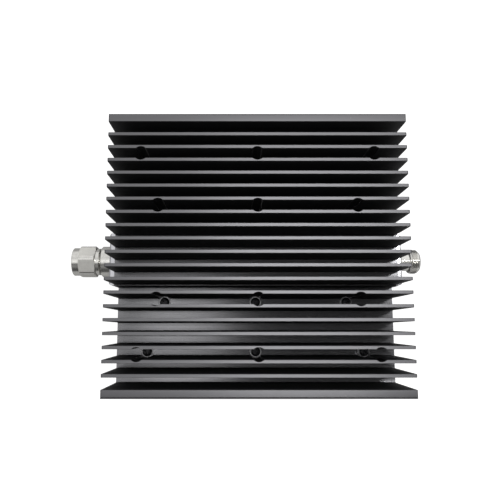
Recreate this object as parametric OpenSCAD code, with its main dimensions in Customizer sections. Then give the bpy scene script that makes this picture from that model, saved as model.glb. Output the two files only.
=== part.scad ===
// High power coaxial attenuator. Two identical black finned extrusions are clamped back to back
// round a long cavity with the resistive element in it. A plug with a spinning coupling nut is
// at the -X end and a socket is at the +X end. Millimetres, +Z up, resting on the lower fins.

/* [Heat sinks] */
// Length of both extrusions along the connector axis
sink_len = 176; // [165:1:220]
// Thickness of the base that carries the fins
base_t = 9.4; // [9:0.1:14]
// Height of the fins above the base
fin_h = 43.6; // [30:0.2:55]
// Number of thin fins, always odd so that one stands on the centre line
fin_count = 19; // [19:2:23]
// Distance from one fin to the next
fin_pitch = 7.76; // [7.6:0.02:8.4]
// Fin thickness at the tip
fin_tip_t = 1.9; // [1.6:0.05:2.2]
// Fin thickness at the foot
fin_root_t = 2.5; // [2.3:0.05:2.8]
// Clear gap between the outermost fin tip and the side wall
edge_gap = 6.7; // [6:0.1:8]
// Thickness of the solid side walls
side_wall_t = 5; // [4:0.1:7]
// Outer corner radius of the side walls
side_corner_r = 1.5; // [0.8:0.1:3]
// Chamfer on the outer edges of the faces that are clamped together
parting_chamfer = 0.4; // [0.2:0.1:0.8]
// Radius at the foot of every fin
root_fillet = 0.5; // [0.3:0.05:0.7]
// Chamfer along the fin tips
tip_chamfer = 0.35; // [0.2:0.05:0.5]
// Chamfer on the sawn ends of the tips
end_chamfer = 0.7; // [0.5:0.1:1.5]

/* [Raised spine] */
// Number of fins that stand on the raised spine, always odd
spine_fins = 5; // [5:2:7]
// Height of the spine above the rest of the base
spine_rise = 14.6; // [12:0.2:18]
// Ledge on each side beyond the last fin on the spine
spine_ledge = 1; // [0.9:0.1:1.4]

/* [Clamping screws] */
// Thread diameter of the screws that clamp the extrusions together
clamp_screw_d = 3; // [2.5:0.1:3.5]
// Depth that the clamping screws reach into the lower base
clamp_engagement = 5.6; // [4:0.1:6]
// Head diameter of the clamping screws
clamp_head_d = 6; // [5.4:0.1:6.4]
// Head height of the clamping screws
clamp_head_h = 2.3; // [1.8:0.1:2.6]
// Outside diameter of the flat washers
flat_washer_d = 7.2; // [6.8:0.1:7.6]
// Thickness of the flat washers
flat_washer_t = 0.5; // [0.4:0.05:0.8]
// Outside diameter of the spring washers
spring_washer_d = 5.6; // [5.2:0.1:6]
// Thickness of the spring washers
spring_washer_t = 0.8; // [0.6:0.05:1]
// Gap between the flat washers and the driver holes milled down through the fins
access_gap = 0.55; // [0.3:0.05:0.9]
// Depth that the driver holes cut into the base
spotface = 0.3; // [0.1:0.05:0.6]
// Channel of the inner screw rows, counted from the centre line
inner_row_channel = 4; // [4:1:5]
// Channel of the outer screw rows, counted from the centre line
outer_row_channel = 8; // [7:1:8]
// Distance of the inner rows' end screws from the extrusion ends
inner_row_inset = 30; // [25:0.5:40]
// Distance of the outer rows' end screws from the extrusion ends
outer_row_inset = 19.5; // [12:0.5:30]

/* [End plates] */
// Width and height of the end plates
plate_w = 33; // [32:0.5:34]
// Thickness of the end plates
plate_t = 5; // [4.5:0.1:7]
// Chamfer round the outer face of the plates
plate_chamfer = 1; // [0.4:0.1:1.5]
// Distance of the plate screws from the edges of the plate
plate_screw_inset = 4.5; // [4:0.1:5]
// Thread diameter of the plate screws
plate_screw_d = 3; // [2.5:0.1:3]
// Depth that the plate screws reach into the extrusions
plate_engagement = 6; // [4:0.5:9]
// Head diameter of the plate screws
plate_head_d = 5.6; // [5.2:0.1:6]

/* [Plug, -X end] */
// Diameter of the round shoulder between the plate and the nut
shoulder_d = 20.3; // [19:0.1:21]
// Length of the shoulder
plug_shoulder_len = 7.9; // [7:0.1:14]
// Bevel on the front edge of the shoulder
shoulder_bevel = 0.8; // [0.4:0.1:1.2]
// Step from the nut's thread core down to its bore on the pilot
pilot_step = 0.375; // [0.3:0.025:0.6]
// Length of the pilot, up to the gasket seat
pilot_len = 6.8; // [6.6:0.1:8]
// Wall of the outer contact sleeve round the line's bore
sleeve_wall = 0.525; // [0.5:0.005:0.6]
// Wall that the sleeve's root adds inside the gasket
root_step = 0.4; // [0.2:0.05:0.8]
// Depth that a plug reaches into a socket
mating_depth = 9.1; // [8.8:0.1:9.4]
// Distance from the sleeve's mouth back to the foot of the pin
pin_depth = 5.5; // [5.2:0.1:5.8]
// Diameter of the centre pin
pin_d = 1.65; // [1.6:0.01:1.68]
// Length of the centre pin
pin_len = 5; // [4.5:0.1:5.2]

/* [Coupling nut] */
// Height of the hexagon's flats above the round collar
hex_step = 0.3; // [0.1:0.05:0.6]
// Depth that the hexagon's corners are turned down by
corner_cut = 0.52; // [0.2:0.02:0.8]
// Length of the hexagon
hex_len = 10.8; // [10:0.1:14]
// Wall of the round collar at the mouth, outside the thread's relief
collar_wall = 1.1; // [0.9:0.05:1.6]
// Length of the round collar
collar_len = 4.5; // [4:0.05:7]
// Step from the collar's size down to the round lip at the back of the nut
lip_step = 0.4; // [0.2:0.05:0.8]
// Length of the round lip
lip_len = 2.3; // [1.2:0.1:3]
// Gap between the shoulder and the nut
nut_gap = 1; // [0.6:0.1:1.4]
// Height of the ridges of the 5/8 inch thread
thread_ridge = 0.515; // [0.45:0.005:0.6]
// Running gap between the nut and the pilot, all round
nut_play = 0.05; // [0.03:0.01:0.08]
// Angle that the nut stands at
nut_angle = 8; // [0:1:59]
// Thickness of the snap ring
ring_t = 1; // [0.8:0.05:1.1]
// Height that the snap ring stands out of the pilot
ring_stand = 0.6; // [0.5:0.05:0.7]
// Thickness of the silicone gasket
gasket_t = 1.4; // [1:0.1:1.6]
// Part of that thickness that a mating socket squeezes it by
gasket_squeeze = 0.3; // [0.2:0.05:0.5]

/* [Socket, +X end] */
// Length of the shoulder against the plate
socket_shoulder_len = 2; // [1.5:0.1:3]
// Diameter of the neck behind the thread
neck_d = 12; // [11.6:0.1:14]
// Length of the neck
neck_len = 6.9; // [6:0.1:10]
// Outside diameter of the 5/8 inch thread
thread_d = 15.88; // [15.7:0.02:15.94]
// Length of the thread
thread_len = 6.7; // [6:0.1:10]
// Bevel at the mouth end of the thread
thread_bevel = 1.8; // [0.8:0.1:2]
// Gap between the socket's bore and the sleeve of a mating plug, all round
socket_play = 0.04; // [0.02:0.01:0.06]
// Outside diameter of the slotted centre contact
contact_d = 3.04; // [2.9:0.02:3.2]
// Length of the slotted centre contact in the bore
contact_len = 5; // [4.6:0.1:5.4]
// Gap between the centre contact and the pin of a mating plug, all round
contact_play = 0.025; // [0.01:0.005:0.05]

/* [Line and cavity] */
// Inside diameter of both outer conductors
line_bore_d = 7; // [6.8:0.05:7.2]
// Diameter of the centre conductor inside the insulators
line_core_d = 2.1; // [2:0.05:2.3]
// Diameter of the pins that lie on the tracks
tail_d = 1.6; // [1.4:0.05:1.8]
// Length of the pins inside the cavity
tail_len = 4; // [3:0.1:6]
// Diameter of the connectors' threaded spigots in the plates
spigot_d = 16; // [14.5:0.1:16.5]
// Width of the cavity
cavity_w = 16; // [15:0.1:17]
// Height of the cavity above the parting plane
cavity_h = 7; // [5:0.1:8]
// Thickness of the line boards
board_t = 1; // [0.8:0.05:1.6]
// Width of the tracks on the boards
track_w = 3; // [2.4:0.1:3.4]
// Thickness of the tracks with their solder
track_t = 0.2; // [0.1:0.05:0.3]
// Gap between each board and the walls round it
board_gap = 0.2; // [0.1:0.05:0.3]
// Thread diameter of the board screws
board_screw_d = 2; // [1.6:0.1:2]
// Depth that the board screws reach into the lower base
board_engagement = 4; // [3:0.5:6]
// Head diameter of the board screws
board_head_d = 3.6; // [3.2:0.1:3.8]
// Distance of the board screws from the ends of the boards
board_screw_inset = 7; // [4:0.5:12]

/* [Attenuator element] */
// Size of the ceramic substrate across the line
substrate_w = 12.7; // [12:0.1:14]
// Size of the ceramic substrate along the line
substrate_len = 9.4; // [8.8:0.1:12]
// Thickness of the ceramic substrate
substrate_t = 1.5; // [1:0.1:2]
// Thickness of the metal flange under the substrate
flange_t = 1.6; // [1.4:0.1:2.5]
// Metal left round the screw heads and the substrate's ends
flange_margin = 0.3; // [0.2:0.05:0.8]
// Thickness of the ceramic lid
lid_t = 1.2; // [0.8:0.1:2]
// Rim of the substrate left bare beside the lid
lid_rim = 0.85; // [0.5:0.05:1.2]
// Width of the two solder tabs
tab_w = 2.6; // [2:0.1:3]
// Thickness of the two solder tabs
tab_t = 0.2; // [0.1:0.05:0.3]
// Length of the tabs that is soldered to the substrate
tab_overlap = 1; // [0.8:0.1:1.4]
// Length of the tabs
tab_len = 5; // [4:0.1:7]
// Thread diameter of the flange screws
flange_screw_d = 3; // [2.5:0.1:3]
// Head diameter of the flange screws
flange_head_d = 5.6; // [5:0.1:5.6]
// Depth that the flange screws reach into the lower base
flange_engagement = 5; // [4:0.5:8]

/* [Hidden] */
$fn = 64;

BLACK = [0.09, 0.09, 0.1];
BLACK_STEEL = [0.13, 0.13, 0.14];
PLAIN_STEEL = [0.55, 0.55, 0.56];
BARE_ALUMINIUM = [0.76, 0.77, 0.79];
NICKEL = [0.8, 0.79, 0.75];
GOLD = [0.83, 0.66, 0.3];
WHITE_PTFE = [0.95, 0.95, 0.93];
SILICONE = [0.72, 0.2, 0.14];
COPPER = [0.78, 0.45, 0.3];
CERAMIC = [0.93, 0.93, 0.9];

// Extra length that cutters run past a face
cut = 1;
// Play between a thread and its tapped hole, all round
thread_play = 0.05;
// Play between a screw and the plain hole it passes through, all round
hole_play = 0.2;
// Depth of a tapped hole beyond the end of its screw
tap_runout = 1;
// Gap between the element's flange and its pocket
pocket_gap = 0.4;
// Gap between the element's screw heads and its substrate
head_gap = 0.05;
// Gap between the lid and the solder tabs
lid_gap = 0.5;
// Distance of the tracks from the ends of the boards
track_inset = 0.4;
// Cross recess of a screw: reach and width as shares of the head's diameter, depth as a share
// of the head's height, and narrowing towards the bottom
recess_reach = 0.28;
recess_width = 0.14;
recess_depth = 0.6;
recess_narrowing = 0.55;
// Rim height of a pan head as a share of its whole height
pan_rim = 0.4;
// Chamfer on the ends and edges of turned pieces
small_chamfer = 0.4;
// Play between the 5/8 inch thread and the relief at the back of the nut's thread, all round
relief_play = 0.16;
// Length of that relief, and how far it reaches back over the pilot
relief_len = 2;
relief_inset = 0.9;
// Distance of the snap ring from the back of the nut
ring_inset = 2.6;

sink_h = base_t + fin_h;
spine_top = base_t + spine_rise;
side_fins = floor(fin_count / 2);
spine_side_fins = floor(spine_fins / 2);
spine_w = 2 * (spine_side_fins * fin_pitch + fin_root_t / 2 + spine_ledge);
wall_inside_y = side_fins * fin_pitch + fin_tip_t / 2 + edge_gap;
sink_w = 2 * (wall_inside_y + side_wall_t);
// The connector axis runs in the parting plane of the two extrusions
axis_z = sink_h;
seat_z = axis_z + base_t - spotface;
clamp_head_z = seat_z + flat_washer_t + spring_washer_t;
clamp_screw_len = clamp_head_z - axis_z + clamp_engagement;
access_hole_d = flat_washer_d + 2 * access_gap;

plate_x = sink_len / 2;
plate_face_x = plate_x + plate_t;
plate_screw_offset = plate_w / 2 - plate_screw_inset;
plate_head_h = (plate_head_d - plate_screw_d) / 2;
plate_screw_len = plate_t + plate_engagement;

tail_r = tail_d / 2;
line_z = axis_z - tail_r;
board_top_z = line_z - track_t;
board_z = board_top_z - board_t;
cavity_floor = axis_z - board_z;
flange_top_z = line_z - substrate_t;
flange_z = flange_top_z - flange_t;
pocket_floor = axis_z - flange_z;
flange_screw_y = substrate_w / 2 + head_gap + flange_head_d / 2;
flange_w = 2 * (flange_screw_y + flange_head_d / 2 + flange_margin);
flange_len = substrate_len + 2 * flange_margin;
lid_len = substrate_len - 2 * tab_overlap - 2 * lid_gap;
lid_w = substrate_w - 2 * lid_rim;
pocket_len = flange_len + 2 * pocket_gap;
pocket_w = flange_w + 2 * pocket_gap;
board_inner_x = pocket_len / 2 + board_gap;
board_outer_x = plate_x - board_gap;
board_head_h = 1.3;
board_screw_len = board_t + board_engagement;
board_screw_y = (cavity_w / 2 - board_gap + track_w / 2) / 2;
flange_screw_len = flange_t + flange_engagement;
flange_head_h = 2;

// Diameters of the plug, the nut and the socket that follow from the thread and the line
nut_thread_d = thread_d - 2 * thread_ridge;
thread_relief_d = thread_d + 2 * relief_play;
pilot_d = nut_thread_d - 2 * (pilot_step + nut_play);
ring_d = pilot_d + 2 * ring_stand;
collar_d = thread_relief_d + 2 * collar_wall;
lip_d = collar_d - 2 * lip_step;
hex_af = collar_d + 2 * hex_step;
hex_corner_d = hex_af / cos(30) - 2 * corner_cut;
sleeve_d = line_bore_d + 2 * sleeve_wall;
root_d = sleeve_d + 2 * root_step;
socket_bore_d = sleeve_d + 2 * socket_play;
contact_bore_d = pin_d + 2 * contact_play;

// Stations along each connector, counted outwards from the plate's outer face
nut_start = plug_shoulder_len + nut_gap;
gasket_seat = plug_shoulder_len + pilot_len;
gasket_end = gasket_seat + gasket_t;
sleeve_end = gasket_end - gasket_squeeze + mating_depth;
pin_foot = sleeve_end - pin_depth;
hex_start = nut_start + lip_len;
hex_end = hex_start + hex_len;
nut_end = hex_end + collar_len;
ring_play = 0.3;
ring_start = nut_start + ring_inset;
thread_relief_start = gasket_seat - relief_inset;
socket_neck_end = socket_shoulder_len + neck_len;
socket_end = socket_neck_end + thread_len;
socket_floor = socket_end - mating_depth;

// Points of an arc about (cx, cy)
function arc(cx, cy, r, from, to, steps) =
    [for (i = [0 : steps]) let (a = from + (to - from) * i / steps) [cx + r * cos(a), cy + r * sin(a)]];

// Half the thickness of a tapered fin at height z
function fin_side(z) = (fin_root_t + (fin_tip_t - fin_root_t) * (z - base_t) / fin_h) / 2;

// Height of the surface that fin k stands on
function fin_level(k) = k <= spine_side_fins ? spine_top : base_t;

// The flank of a fin on the side away from the centre line, from its foot to its tip
function outer_flank(y, level) = concat(
    arc(y + fin_side(level + root_fillet) + root_fillet, level + root_fillet, root_fillet, -90, -180, 3),
    [[y + fin_tip_t / 2, sink_h - tip_chamfer], [y + fin_tip_t / 2 - tip_chamfer, sink_h]]
);

// The flank of a fin on the side towards the centre line, from its tip to its foot
function inner_flank(y, level) = concat(
    [[y - fin_tip_t / 2 + tip_chamfer, sink_h], [y - fin_tip_t / 2, sink_h - tip_chamfer]],
    arc(y - fin_side(level + root_fillet) - root_fillet, level + root_fillet, root_fillet, 0, -90, 3)
);

spine_step = [
    [spine_w / 2, base_t],
    [spine_w / 2, spine_top - tip_chamfer],
    [spine_w / 2 - tip_chamfer, spine_top]
];

// Half of the extrusion's section, from the side wall to the middle fin
half_section = concat(
    [[sink_w / 2 - parting_chamfer, 0], [sink_w / 2, parting_chamfer]],
    arc(sink_w / 2 - side_corner_r, sink_h - side_corner_r, side_corner_r, 0, 90, 5),
    [[wall_inside_y + tip_chamfer, sink_h], [wall_inside_y, sink_h - tip_chamfer]],
    arc(wall_inside_y - root_fillet, base_t + root_fillet, root_fillet, 0, -90, 3),
    [for (k = [side_fins : -1 : 1]) each concat(
        k == spine_side_fins ? spine_step : [],
        outer_flank(k * fin_pitch, fin_level(k)),
        inner_flank(k * fin_pitch, fin_level(k))
    )],
    outer_flank(0, spine_top)
);

function mirrored(points) = [for (i = [len(points) - 1 : -1 : 0]) [-points[i][0], points[i][1]]];

// The section's parting plane is at height 0 and its fins point up
module sink_section() {
    polygon(concat(half_section, mirrored(half_section)));
}

// Calls its children at each clamping screw, on the parting plane
module at_clamp_screws() {
    for (side = [-1, 1], station = [-1, 0, 1]) {
        translate([
            station * (sink_len / 2 - inner_row_inset),
            side * (inner_row_channel - 0.5) * fin_pitch, 0
        ]) children();
        translate([
            station * (sink_len / 2 - outer_row_inset),
            side * (outer_row_channel - 0.5) * fin_pitch, 0
        ]) children();
    }
}

// Calls its children at the two plate screws of one extrusion, drawn along +Z out of the end
module at_end_screws(end) {
    for (side = [-1, 1])
        translate([end * sink_len / 2, side * plate_screw_offset, plate_screw_offset])
            rotate([0, end * 90, 0]) children();
}

// What both extrusions share: section, bevelled fin ends, cavity and tapped ends
module sink_blank(cavity_depth, pocket_depth) {
    difference() {
        rotate([90, 0, 90]) linear_extrude(sink_len, center = true) sink_section();
        for (end = [-1, 1])
            translate([end * sink_len / 2, 0, sink_h]) rotate([0, 45, 0])
                cube([end_chamfer * sqrt(2), sink_w + 2 * cut, end_chamfer * sqrt(2)], center = true);
        translate([-sink_len / 2 - cut, -cavity_w / 2, -cut])
            cube([sink_len + 2 * cut, cavity_w, cavity_depth + cut]);
        translate([-pocket_len / 2, -pocket_w / 2, -cut])
            cube([pocket_len, pocket_w, pocket_depth + cut]);
        for (end = [-1, 1]) at_end_screws(end)
            translate([0, 0, -plate_engagement - tap_runout])
                cylinder(d = plate_screw_d, h = plate_engagement + tap_runout + cut);
    }
}

module upper_heat_sink() {
    color(BLACK) translate([0, 0, axis_z]) difference() {
        sink_blank(cavity_h, cavity_h);
        at_clamp_screws() {
            translate([0, 0, -cut]) cylinder(d = clamp_screw_d + 2 * hole_play, h = base_t + 2 * cut);
            translate([0, 0, base_t - spotface])
                cylinder(d = access_hole_d, h = fin_h + spotface + cut);
        }
    }
}

module lower_heat_sink() {
    color(BLACK) translate([0, 0, axis_z]) mirror([0, 0, 1]) difference() {
        sink_blank(cavity_floor, pocket_floor);
        at_clamp_screws() translate([0, 0, -cut])
            cylinder(d = clamp_screw_d, h = clamp_engagement + tap_runout + cut);
        board_screw_holes();
        for (side = [-1, 1]) translate([0, side * flange_screw_y, 0])
            cylinder(d = flange_screw_d, h = pocket_floor + flange_engagement + tap_runout);
    }
}

// Cutter for a cross recess, with the top of the screw's head at height 0
module cross_recess(head_d, depth) {
    reach = head_d * recess_reach;
    for (turn = [0, 90]) rotate([90, 0, turn])
        linear_extrude(head_d * recess_width, center = true)
            polygon([
                [-reach, cut], [-reach, 0], [-reach * recess_narrowing, -depth],
                [reach * recess_narrowing, -depth], [reach, 0], [reach, cut]
            ]);
}

// Cross-headed pan screw with the underside of its head at height 0
module pan_screw(thread, head_d, head_h, length) {
    rim = head_h * pan_rim;
    crown_r = head_h - rim;
    difference() {
        rotate_extrude() polygon(concat(
            [[0, -length], [thread / 2 - small_chamfer, -length],
             [thread / 2, -length + small_chamfer], [thread / 2, 0], [head_d / 2, 0]],
            arc(head_d / 2 - crown_r, rim, crown_r, 0, 90, 5),
            [[0, head_h]]
        ));
        translate([0, 0, head_h]) cross_recess(head_d, head_h * recess_depth);
    }
}

module heat_sink_screws() {
    color(BLACK_STEEL) at_clamp_screws()
        translate([0, 0, clamp_head_z])
            pan_screw(clamp_screw_d - 2 * thread_play, clamp_head_d, clamp_head_h, clamp_screw_len);
}

module washer(outside, inside, thickness) {
    difference() {
        cylinder(d = outside, h = thickness);
        translate([0, 0, -cut]) cylinder(d = inside, h = thickness + 2 * cut);
    }
}

module flat_washers() {
    color(PLAIN_STEEL) at_clamp_screws() translate([0, 0, seat_z])
        washer(flat_washer_d, clamp_screw_d + hole_play, flat_washer_t);
}

// Split spring washers, each squeezed flat with its split facing +Y
module spring_washers() {
    split = 0.6;
    color(BLACK_STEEL) at_clamp_screws() translate([0, 0, seat_z + flat_washer_t]) difference() {
        washer(spring_washer_d, clamp_screw_d + hole_play, spring_washer_t);
        rotate([0, 20, 0]) translate([-split / 2, 0, -spring_washer_d])
            cube([split, spring_washer_d, 2 * spring_washer_d]);
    }
}

// Square plate that closes the cavity, drawn with its outer face up at height plate_t
module end_plate() {
    difference() {
        translate([-plate_w / 2, -plate_w / 2, 0]) cube([plate_w, plate_w, plate_t]);
        translate([0, 0, -cut]) cylinder(d = spigot_d + 2 * thread_play, h = plate_t + 2 * cut);
        for (turn = [0 : 90 : 270]) rotate([0, 0, turn]) {
            translate([plate_w / 2, 0, plate_t]) rotate([0, 45, 0])
                cube([plate_chamfer * sqrt(2), plate_w + 2 * cut, plate_chamfer * sqrt(2)], center = true);
            translate([plate_screw_offset, plate_screw_offset, 0]) {
                translate([0, 0, -cut]) cylinder(d = plate_screw_d + 2 * hole_play, h = plate_t + 2 * cut);
                translate([0, 0, plate_t - plate_head_h - hole_play])
                    cylinder(d1 = plate_screw_d + 2 * thread_play, d2 = plate_head_d + 2 * (hole_play + thread_play),
                             h = plate_head_h + hole_play);
            }
        }
    }
}

// Stands a piece drawn along +Z on the connector axis, with height 0 at distance x
module on_axis(end, x) {
    translate([end * x, 0, axis_z]) rotate([0, end * 90, 0]) children();
}

module plug_end_plate() {
    color(BARE_ALUMINIUM) on_axis(-1, plate_x) end_plate();
}

module socket_end_plate() {
    color(BARE_ALUMINIUM) on_axis(1, plate_x) end_plate();
}

// Countersunk cross-headed screw with the top of its head at height 0
module countersunk_screw() {
    shank = plate_screw_d / 2 - thread_play;
    difference() {
        rotate_extrude() polygon([
            [0, -plate_screw_len], [shank - small_chamfer, -plate_screw_len],
            [shank, -plate_screw_len + small_chamfer], [shank, -plate_head_h - hole_play],
            [plate_head_d / 2, -hole_play], [plate_head_d / 2, 0], [0, 0]
        ]);
        cross_recess(plate_head_d, plate_head_h);
    }
}

module plate_screws(end) {
    on_axis(end, plate_face_x) for (x = [-1, 1], y = [-1, 1])
        translate([x * plate_screw_offset, y * plate_screw_offset, 0]) countersunk_screw();
}

module plug_plate_screws() {
    color(BLACK_STEEL) plate_screws(-1);
}

module socket_plate_screws() {
    color(BLACK_STEEL) plate_screws(1);
}

module plug_body() {
    color(NICKEL) on_axis(-1, plate_face_x) rotate_extrude() polygon([
        [line_bore_d / 2, -plate_t],
        [spigot_d / 2 - small_chamfer, -plate_t],
        [spigot_d / 2, -plate_t + small_chamfer],
        [spigot_d / 2, 0],
        [shoulder_d / 2, 0],
        [shoulder_d / 2, plug_shoulder_len - shoulder_bevel],
        [shoulder_d / 2 - shoulder_bevel, plug_shoulder_len],
        [pilot_d / 2, plug_shoulder_len],
        [pilot_d / 2, ring_start - thread_play],
        [pilot_d / 2 - ring_t, ring_start - thread_play],
        [pilot_d / 2 - ring_t, ring_start + ring_t + thread_play],
        [pilot_d / 2, ring_start + ring_t + thread_play],
        [pilot_d / 2, gasket_seat],
        [root_d / 2, gasket_seat],
        [root_d / 2, gasket_end],
        [sleeve_d / 2, gasket_end],
        [sleeve_d / 2, sleeve_end - small_chamfer / 2],
        [sleeve_d / 2 - small_chamfer / 2, sleeve_end],
        [line_bore_d / 2, sleeve_end]
    ]);
}

// Hexagon nut with a round collar at its mouth and a round lip at its back
module coupling_nut() {
    bore = pilot_d / 2 + nut_play;
    corner = (hex_corner_d - hex_af) / 2;
    color(NICKEL) on_axis(-1, plate_face_x) rotate([0, 0, nut_angle]) difference() {
        union() {
            rotate_extrude() polygon([
                [0, nut_start], [lip_d / 2 - small_chamfer, nut_start], [lip_d / 2, nut_start + small_chamfer],
                [lip_d / 2, hex_start + cut], [collar_d / 2, hex_end - cut],
                [collar_d / 2, nut_end - small_chamfer], [collar_d / 2 - small_chamfer, nut_end], [0, nut_end]
            ]);
            intersection() {
                translate([0, 0, hex_start]) cylinder(d = hex_af / cos(30), h = hex_len, $fn = 6);
                rotate_extrude() polygon([
                    [0, hex_start], [hex_af / 2, hex_start], [hex_corner_d / 2, hex_start + corner * tan(30)],
                    [hex_corner_d / 2, hex_end - corner * tan(30)], [hex_af / 2, hex_end], [0, hex_end]
                ]);
            }
        }
        rotate_extrude() polygon([
            [0, nut_start - cut],
            [bore + small_chamfer + cut, nut_start - cut],
            [bore, nut_start + small_chamfer],
            [bore, ring_start - ring_play],
            [ring_d / 2 + ring_play, ring_start - ring_play],
            [ring_d / 2 + ring_play, ring_start + ring_t + ring_play],
            [bore, ring_start + ring_t + ring_play],
            [bore, thread_relief_start],
            [thread_relief_d / 2, thread_relief_start],
            [thread_relief_d / 2, thread_relief_start + relief_len],
            [nut_thread_d / 2, thread_relief_start + relief_len + small_chamfer],
            [nut_thread_d / 2, nut_end - 2 * small_chamfer],
            [nut_thread_d / 2 + 2 * small_chamfer, nut_end],
            [nut_thread_d / 2 + 2 * small_chamfer, nut_end + cut],
            [0, nut_end + cut]
        ]);
    }
}

// Split ring that holds the nut on its pilot
module snap_ring() {
    split = 2.4;
    color(NICKEL) on_axis(-1, plate_face_x) translate([0, 0, ring_start]) difference() {
        washer(ring_d, pilot_d - 2 * ring_t + 2 * thread_play, ring_t);
        translate([0, -split / 2, -cut]) cube([ring_d, split, ring_t + 2 * cut]);
    }
}

module plug_gasket() {
    color(SILICONE) on_axis(-1, plate_face_x) translate([0, 0, gasket_seat])
        washer(pilot_d - 2 * thread_play, root_d + 2 * thread_play, gasket_t);
}

// PTFE bush between the outer conductor and the centre conductor
module insulator(front) {
    rotate_extrude() polygon([
        [line_core_d / 2, -plate_t], [line_bore_d / 2, -plate_t],
        [line_bore_d / 2, front], [line_core_d / 2, front]
    ]);
}

module plug_insulator() {
    color(WHITE_PTFE) on_axis(-1, plate_face_x) insulator(pin_foot);
}

module socket_insulator() {
    color(WHITE_PTFE) on_axis(1, plate_face_x) insulator(socket_floor);
}

module plug_centre_pin() {
    taper = 0.9;
    color(GOLD) on_axis(-1, plate_face_x) rotate_extrude() polygon([
        [0, -plate_t - tail_len], [tail_r, -plate_t - tail_len], [tail_r, -plate_t],
        [line_core_d / 2, -plate_t], [line_core_d / 2, pin_foot], [pin_d / 2, pin_foot],
        [pin_d / 2, pin_foot + pin_len - taper], [pin_d / 4, pin_foot + pin_len - taper / 4],
        [0, pin_foot + pin_len]
    ]);
}

// Four-fingered spring socket for the mating pin
module socket_centre_contact() {
    slot = 0.3;
    fingers = contact_len - 0.8;
    front = socket_floor + contact_len;
    color(GOLD) on_axis(1, plate_face_x) difference() {
        rotate_extrude() polygon([
            [0, -plate_t - tail_len], [tail_r, -plate_t - tail_len], [tail_r, -plate_t],
            [line_core_d / 2, -plate_t], [line_core_d / 2, socket_floor], [contact_d / 2, socket_floor],
            [contact_d / 2, front - small_chamfer / 2], [contact_d / 2 - small_chamfer / 2, front],
            [contact_bore_d / 2, front], [contact_bore_d / 2, front - fingers],
            [0, front - fingers]
        ]);
        for (turn = [0, 90]) rotate([0, 0, turn])
            translate([-slot / 2, -contact_d, front - fingers + slot])
                cube([slot, 2 * contact_d, fingers + cut]);
    }
}

module socket_body() {
    color(NICKEL) on_axis(1, plate_face_x) rotate_extrude() polygon([
        [line_bore_d / 2, -plate_t],
        [spigot_d / 2 - small_chamfer, -plate_t],
        [spigot_d / 2, -plate_t + small_chamfer],
        [spigot_d / 2, 0],
        [shoulder_d / 2, 0],
        [shoulder_d / 2, socket_shoulder_len - small_chamfer],
        [shoulder_d / 2 - small_chamfer, socket_shoulder_len],
        [neck_d / 2, socket_shoulder_len],
        [neck_d / 2, socket_neck_end],
        [thread_d / 2 - small_chamfer, socket_neck_end],
        [thread_d / 2, socket_neck_end + small_chamfer],
        [thread_d / 2, socket_end - thread_bevel],
        [thread_d / 2 - thread_bevel, socket_end],
        [socket_bore_d / 2 + small_chamfer, socket_end],
        [socket_bore_d / 2, socket_end - small_chamfer],
        [socket_bore_d / 2, socket_floor],
        [line_bore_d / 2, socket_floor]
    ]);
}

// Calls its children at the board screws of one end, at height 0
module at_board_screws(end) {
    for (x = [board_inner_x + board_screw_inset, board_outer_x - board_screw_inset], side = [-1, 1])
        translate([end * x, side * board_screw_y, 0]) children();
}

// Tapped holes below the boards, in the lower extrusion's own upside-down frame
module board_screw_holes() {
    for (end = [-1, 1]) at_board_screws(end)
        cylinder(d = board_screw_d, h = cavity_floor + board_engagement + tap_runout);
}

module line_board(end) {
    width = cavity_w - 2 * board_gap;
    difference() {
        translate([end > 0 ? board_inner_x : -board_outer_x, -width / 2, board_z])
            cube([board_outer_x - board_inner_x, width, board_t]);
        at_board_screws(end) translate([0, 0, board_z - cut])
            cylinder(d = board_screw_d + hole_play, h = board_t + 2 * cut);
    }
}

module line_track(end) {
    start = board_inner_x + track_inset;
    length = board_outer_x - board_inner_x - 2 * track_inset;
    translate([end > 0 ? start : -start - length, -track_w / 2, board_top_z])
        cube([length, track_w, track_t]);
}

module plug_line_board() {
    color(WHITE_PTFE) line_board(-1);
}

module socket_line_board() {
    color(WHITE_PTFE) line_board(1);
}

module plug_line_track() {
    color(COPPER) line_track(-1);
}

module socket_line_track() {
    color(COPPER) line_track(1);
}

module board_screws() {
    color(PLAIN_STEEL) for (end = [-1, 1]) at_board_screws(end) translate([0, 0, board_top_z])
        pan_screw(board_screw_d - 2 * thread_play, board_head_d, board_head_h, board_screw_len);
}

module element_flange() {
    color(COPPER) difference() {
        translate([-flange_len / 2, -flange_w / 2, flange_z]) cube([flange_len, flange_w, flange_t]);
        for (side = [-1, 1]) translate([0, side * flange_screw_y, flange_z - cut])
            cylinder(d = flange_screw_d + hole_play, h = flange_t + 2 * cut);
    }
}

module element_substrate() {
    color(CERAMIC) translate([-substrate_len / 2, -substrate_w / 2, flange_top_z])
        cube([substrate_len, substrate_w, substrate_t]);
}

module element_lid() {
    color(CERAMIC) translate([-lid_len / 2, -lid_w / 2, line_z]) cube([lid_len, lid_w, lid_t]);
}

// Silver ribbon from the substrate onto the track
module tab(end) {
    start = substrate_len / 2 - tab_overlap;
    translate([end > 0 ? start : -start - tab_len, -tab_w / 2, line_z])
        cube([tab_len, tab_w, tab_t]);
}

module plug_side_tab() {
    color(PLAIN_STEEL) tab(-1);
}

module socket_side_tab() {
    color(PLAIN_STEEL) tab(1);
}

module element_screws() {
    color(PLAIN_STEEL) for (side = [-1, 1])
        translate([0, side * flange_screw_y, flange_top_z])
            pan_screw(flange_screw_d - 2 * thread_play, flange_head_d, flange_head_h, flange_screw_len);
}

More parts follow.
